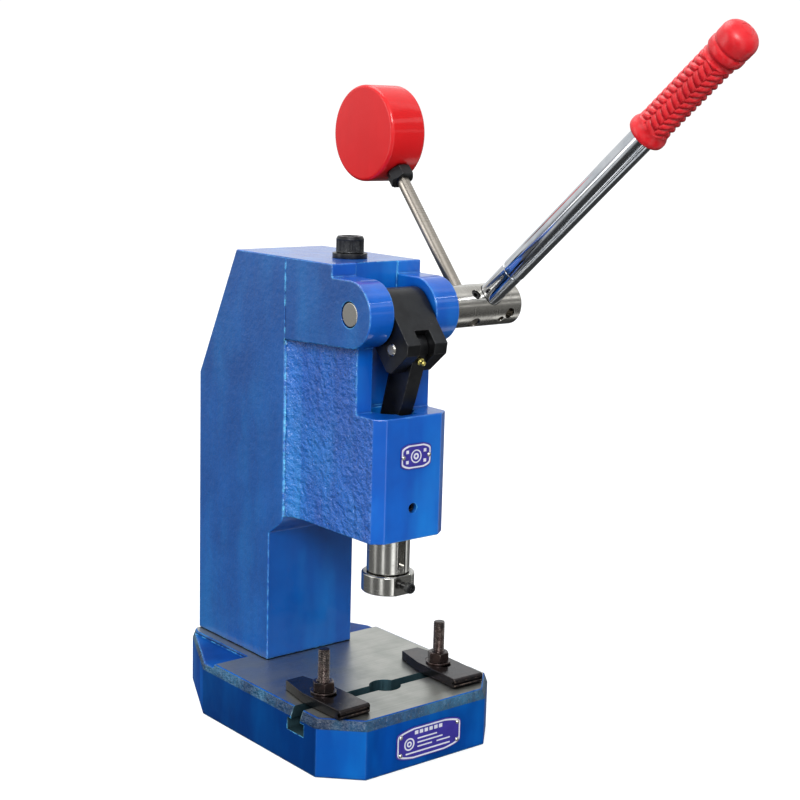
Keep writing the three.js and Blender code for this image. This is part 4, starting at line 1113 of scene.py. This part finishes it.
def make_counterweight():
    round_radius, round_z = WEIGHT_RADIUS - WEIGHT_EDGE, WEIGHT_HALF - WEIGHT_EDGE
    disc = turned([
        (0, -WEIGHT_HALF), *arc(round_radius, -round_z, WEIGHT_EDGE, -90, 0, 8),
        *arc(round_radius, round_z, WEIGHT_EDGE, 0, 90, 8), (0, WEIGHT_HALF),
    ], 160)
    hole = rod("z", ROD_RADIUS + 0.1, 0, WEIGHT_RIM + 27, (0, 0), SMALL)
    drilled = cut(placed(disc, at(0, 0, WEIGHT_DISTANCE) @ FACE_RIGHT), hole)
    make("red_weight", drilled, RED, "lever", ["counterweight"], bevel=0.2, place=WEIGHT_FRAME)
    start, end = -16, WEIGHT_RIM + 26
    stem = turned([
        (0, start), (ROD_RADIUS - 0.6, start), (ROD_RADIUS, start + 0.6), (ROD_RADIUS, end), (0, end),
    ], MEDIUM)
    make("weight_rod", stem, ROD_STEEL, "lever", ["counterweight_rod"], place=WEIGHT_FRAME)
    nut = placed(hex_nut(19, ROD_RADIUS + 0.1, 10), at(0, 0, WEIGHT_RIM - 10.4))
    make("weight_nut", nut, BLACK, "lever", ["counterweight_nut"], bevel=0.15, place=WEIGHT_FRAME)
    seat = at(0, 0, WEIGHT_DISTANCE) @ Matrix.Rotation(math.radians(LOCK_SCREW_TURN), 4, "X")
    stud = placed(set_screw(2.6, 16, 2.5), seat @ at(7, 0, 9 - WEIGHT_RADIUS) @ FLIP)
    make("weight_screw", stud, BLACK, "lever", ["counterweight_lock_screw"], place=WEIGHT_FRAME)


# ---- clamps -------------------------------------------------------------

CLAMP_TURN = {"left": 1, "right": -2}
BAR_HALF = 15
BAR_TAIL_HALF = 8.5
BAR_FRONT = -41
BAR_TAPER_START = 8
BAR_BACK = 39
BAR_THICK = 8
STUD_HEAD = (10, 10.5)  # half width along the slot and across it
STUD_NECK = 5.6
STUD_RADIUS = 4.9
STUD_PITCH = 1.5


def clamp_bar():
    """A flat bar, narrower at the back, with a grooved front edge and a long hole."""
    plan = [
        (-BAR_HALF, BAR_FRONT), (BAR_HALF, BAR_FRONT), (BAR_HALF, BAR_TAPER_START),
        (BAR_TAIL_HALF, BAR_BACK), (-BAR_TAIL_HALF, BAR_BACK), (-BAR_HALF, BAR_TAPER_START),
    ]
    lip = 2.2
    side = [
        (BAR_BACK, 0), (BAR_BACK, BAR_THICK), *arc(BAR_FRONT + lip, BAR_THICK - lip, lip, 90, 200, 12),
        *reversed(arc(BAR_FRONT + 1.6, BAR_THICK / 2, 1.1, -70, 70, 8)),
        *arc(BAR_FRONT + lip, lip, lip, 160, 270, 12),
    ]
    side_cut = side_view(side, -BAR_HALF - 1, BAR_HALF + 1)
    body = combined(prism(plan, 0, BAR_THICK), [side_cut], "INTERSECT")
    slot = [*arc(0, 8, 5.5, 0, 180, 16), *arc(0, -8, 5.5, 180, 360, 16)]
    return cut(body, prism(slot, -1, BAR_THICK + 1))


def clamp_stud(low, high):
    along_slot, across_slot = STUD_HEAD
    head = box((-along_slot, along_slot), (-across_slot, across_slot), (low, SLOT_CEILING - 1))
    neck = box((-STUD_NECK, STUD_NECK), (-STUD_NECK, STUD_NECK), (SLOT_CEILING - 2, BASE_TOP - 1))
    return joined(head, neck, threaded(STUD_RADIUS, STUD_PITCH, BASE_TOP - 3, high, 4))


def make_clamps():
    for side, turn in CLAMP_TURN.items():
        spot = centre(f"clamp_stud_{side}")
        low, high = {}, {}
        for part in ("stud", "bar", "washer", "nut"):
            low[part], high[part] = span(f"clamp_{part}_{side}")[2]
        make(f"stud_{side}", clamp_stud(low["stud"], high["stud"]), BROWN_BLACK, f"{side}_stud",
             [f"clamp_stud_{side}"], place=at(spot.x, spot.y, 0), smooth=50)
        seat = at(spot.x, spot.y, low["bar"]) @ Matrix.Rotation(math.radians(turn), 4, "Z")
        make(f"bar_{side}", clamp_bar(), BAR_BLACK, f"{side}_bar", [f"clamp_bar_{side}"],
             bevel=0.6, segments=3, place=seat)
        disc = washer(10.4, 5.2, high["washer"] - low["washer"])
        make(f"washer_{side}", disc, BROWN_BLACK, f"{side}_bar", [f"clamp_washer_{side}"],
             place=at(spot.x, spot.y, low["washer"]))
        nut = hex_nut(16, STUD_RADIUS + 0.08, high["nut"] - low["nut"])
        make(f"nut_{side}", nut, BROWN_BLACK, f"{side}_nut", [f"clamp_nut_{side}"],
             bevel=0.15, place=at(spot.x, spot.y, low["nut"]))


# ---- plates -------------------------------------------------------------

LABEL_SQUARENESS = 0.2
LABEL_RIM = (0.9, 2.1)  # distances of the white rim's two edges from the plate's edge
LABEL_SHEET = 0.2


def label_outline(half_width, half_height, bulge, margin=0.0, steps=96):
    """A plate with rounded corners and crowned long edges."""
    points = []
    for i in range(steps):
        turn = 2 * math.pi * (i + 0.5) / steps
        across = math.copysign(abs(math.cos(turn)) ** LABEL_SQUARENESS, math.cos(turn))
        up = math.copysign(abs(math.sin(turn)) ** LABEL_SQUARENESS, math.sin(turn))
        reach = half_height - margin + bulge * (1 - across * across)
        points.append(((half_width - margin) * across, reach * up))
    return points


def make_label(name, node_name, half_width, half_height, bulge, marks, rivets):
    """A printed plate: purple ground, white rim, and plain marks that spell nothing.

    A mark is an outline and, for a ring, the outline of its hole.
    """
    spot = centre(node_name)
    front, back = span(node_name)[1]
    here = at(spot.x, 0, spot.z)
    face = front + LABEL_SHEET
    plate = label_outline(half_width, half_height, bulge)
    sheet = placed(front_view(plate[::-1], face, back), here)
    make(f"{name}_sheet", sheet, LABEL, "frame", [node_name], bevel=0.1)
    rim = [label_outline(half_width, half_height, bulge, margin) for margin in LABEL_RIM]
    for index, (outline, *holes) in enumerate([rim, *marks]):
        ink = front_view(outline[::-1], front + 0.02, face + 0.05)
        for hole in holes:
            ink = cut(ink, front_view(hole[::-1], front - 1, face + 1))
        make(f"{name}_print_{index}", placed(ink, here), LABEL_WHITE, "frame")
    for index in range(rivets):
        rivet = f"{name}_rivet_{index + 1}"
        middle = centre(rivet)
        crown = arc(0, -0.55, 2, 20, 78, 6)
        dome = turned([(0, -0.5), (1, -0.5), (1, 0.05), (1.9, 0.05), *crown, (0, 1.3)], SMALL)
        make(f"{rivet}_head", dome, TURNED_Z, "frame", [rivet],
             place=at(middle.x, front, middle.z) @ FACE_FRONT)


def bar_mark(x, z, width, height):
    return ([(x, z), (x + width, z), (x + width, z + height), (x, z + height)],)


def ring_mark(x, z, outer, inner):
    return arc(x, z, outer, 0, 351, 39), arc(x, z, inner, 0, 351, 39)


def make_labels():
    corners = [bar_mark(x, z, 2.6, 2.6) for x in (-10.2, 7.6) for z in (-5.4, 2.8)]
    emblem = [ring_mark(0, 0, 5.4, 4.4), ring_mark(0, 0, 2.6, 1.2), *corners]
    make_label("head_emblem", "head_emblem_plate", 15.5, 8, 3, emblem, 2)
    rings = [ring_mark(-20.5, 0, 5.2, 4), ring_mark(-20.5, 0, 2.4, 1.2)]
    blocks = [bar_mark(x, 7, 3.4, 3) for x in (-15, -10, -5, 0, 5, 10)]
    lines = [
        (-12, 2.6, 20, 1.1), (-12, -0.8, 26, 1.1), (-12, -4.2, 15, 1.1), (8, -4.2, 14, 1.1),
        (-24, -8.4, 46, 1.2),
    ]
    marks = rings + blocks + [bar_mark(*line) for line in lines]
    make_label("base_label", "base_label_plate", 33.5, 10.5, 4, marks, 4)


# ---- light, floor and camera --------------------------------------------

PRESS_MIDDLE = Vector((0, 0, 0.2))
FLOOR_GLOW = 0.45
LOW_LEVEL = 0.05
ROOM_LEVEL = 0.19
WALL_LEVEL = 0.85
# each strip's middle, half width and strength: round the room in degrees, overhead in height
WALL_STRIPS = ((-12, 9, 2.2), (-66, 5, 2.0), (-112, 5, 0.7), (72, 8, 1.3))
CEILING_STRIPS = ((0.1, 0.05, 0.8), (0.42, 0.06, 1.5), (0.8, 0.12, 0.9))
CAMERA_PLACE = Vector((-0.7857, -1.0432, 0.5184))
CAMERA_AZIMUTH = -39.488
CAMERA_ELEVATION = 10.573
CAMERA_ROLL = 1.524
CAMERA_LENS = 71.69


def toward(azimuth, elevation):
    """A direction, with azimuth 0 in front of the press and negative to its left."""
    a, e = math.radians(azimuth), math.radians(elevation)
    return Vector((math.sin(a) * math.cos(e), -math.cos(a) * math.cos(e), math.sin(e)))


def make_camera():
    azimuth, roll = math.radians(CAMERA_AZIMUTH), math.radians(CAMERA_ROLL)
    back = toward(CAMERA_AZIMUTH, CAMERA_ELEVATION)
    right = Vector((math.cos(azimuth), math.sin(azimuth), 0))
    up = back.cross(right)
    turned_right = math.cos(roll) * right + math.sin(roll) * up
    turned_up = math.cos(roll) * up - math.sin(roll) * right
    matrix = Matrix((turned_right, turned_up, back)).transposed().to_4x4()
    matrix.translation = CAMERA_PLACE
    data = bpy.data.cameras.new("camera")
    data.sensor_width = 36
    data.lens = CAMERA_LENS
    data.clip_end = 50
    camera = in_collection("camera", data)
    camera.matrix_world = matrix
    bpy.context.scene.camera = camera


def make_floor():
    """Pale studio paper, faintly lit from within so that it stays even out to the horizon."""
    material, shader, place = start_material(
        "floor_paper", **{"Roughness": 0.85, "Emission Color": (1, 1, 1, 1), "Emission Strength": FLOOR_GLOW}
    )
    fibres = noise(place, 3.0, 2.0)
    paper = mixed(fibres, (0.62, 0.62, 0.63, 1), (0.59, 0.59, 0.6, 1))
    feed(shader.inputs["Base Color"], paper)
    mesh = bmesh.new()
    bmesh.ops.create_circle(mesh, cap_ends=True, segments=96, radius=14)
    data = bpy.data.meshes.new("floor")
    mesh.to_mesh(data)
    mesh.free()
    floor = in_collection("floor", data)
    data.materials.append(material)
    floor.visible_glossy = False
    floor.visible_diffuse = False


def add_light(name, kind, direction, distance, power, **settings):
    data = bpy.data.lights.new(name, kind)
    data.energy = power
    for key, value in settings.items():
        setattr(data, key, value)
    light = in_collection(name, data)
    light.location = PRESS_MIDDLE + direction * distance
    light.rotation_euler = (-direction).to_track_quat("-Z", "Y").to_euler()


def make_lights():
    add_light("key", "SUN", toward(-40, 32), 3, 2.6, angle=math.radians(22))
    add_light("left_strip", "AREA", toward(-112, 12), 2.0, 11, shape="RECTANGLE", size=0.8, size_y=1.8)
    add_light("top_box", "AREA", toward(170, 72), 1.8, 16, shape="RECTANGLE", size=1.2, size_y=1.2)


def make_world():
    """What the metal and the gloss paint mirror: a white backdrop, a dim room, and lit strips in it."""
    world = bpy.data.worlds.new("studio")
    world.use_nodes = True
    tree = world.node_tree
    tree.nodes.clear()
    place = node(tree, "ShaderNodeTexCoord").outputs["Generated"]
    direction = node(tree, "ShaderNodeSeparateXYZ", {"Vector": place}).outputs
    ahead = math_node("MULTIPLY", direction["Y"], -1.0)
    azimuth = math_node("ARCTAN2", direction["X"], ahead)
    walls = math_node("MULTIPLY", spread(direction["Y"], -0.1, 0.3), spread(direction["Z"], -0.25, 0.05))
    room = spread(direction["Z"], -0.55, -0.2, LOW_LEVEL, ROOM_LEVEL)
    level = math_node("MAXIMUM", room, spread(walls, 0.0, 1.0, 0.0, WALL_LEVEL))

    def lit(value, middle, half_width, strength):
        away = math_node("ABSOLUTE", math_node("SUBTRACT", value, middle))
        glow = spread(away, half_width * 1.5, half_width * 0.6, 0.0, strength)
        return math_node("MAXIMUM", level, glow)

    for middle, half_width, strength in WALL_STRIPS:
        level = lit(azimuth, math.radians(middle), math.radians(half_width), strength)
    for middle, half_width, strength in CEILING_STRIPS:
        level = lit(direction["Z"], middle, half_width, strength)
    soft = node(tree, "ShaderNodeBackground", {"Color": (0.97, 0.99, 1.0, 1), "Strength": level})
    pale = node(tree, "ShaderNodeBackground", {"Color": (1, 1, 1, 1), "Strength": 1.05})
    seen = node(tree, "ShaderNodeLightPath").outputs["Is Camera Ray"]
    mix = node(tree, "ShaderNodeMixShader", {"Fac": seen})
    feed(mix.inputs[1], soft.outputs[0])
    feed(mix.inputs[2], pale.outputs[0])
    node(tree, "ShaderNodeOutputWorld", {"Surface": mix.outputs[0]})
    bpy.context.scene.world = world


def finish_cad_nodes():
    """The few CAD pieces that stay: bushes and key."""
    for name in ("shaft_bush_left", "shaft_bush_right"):
        frame["nodes"][name].material_slots[0].material = BRONZE
    frame["nodes"]["shaft_key"].material_slots[0].material = TURNED_X


make_camera()
make_world()
make_lights()
make_floor()
make_base()
make_column()
make_top_bolt()
make_column_bolts()
make_shaft()
make_yoke()
make_link()
make_ram()
make_lever()
make_counterweight()
make_clamps()
make_labels()
finish_cad_nodes()
bpy.context.scene.view_settings.view_transform = "Standard"
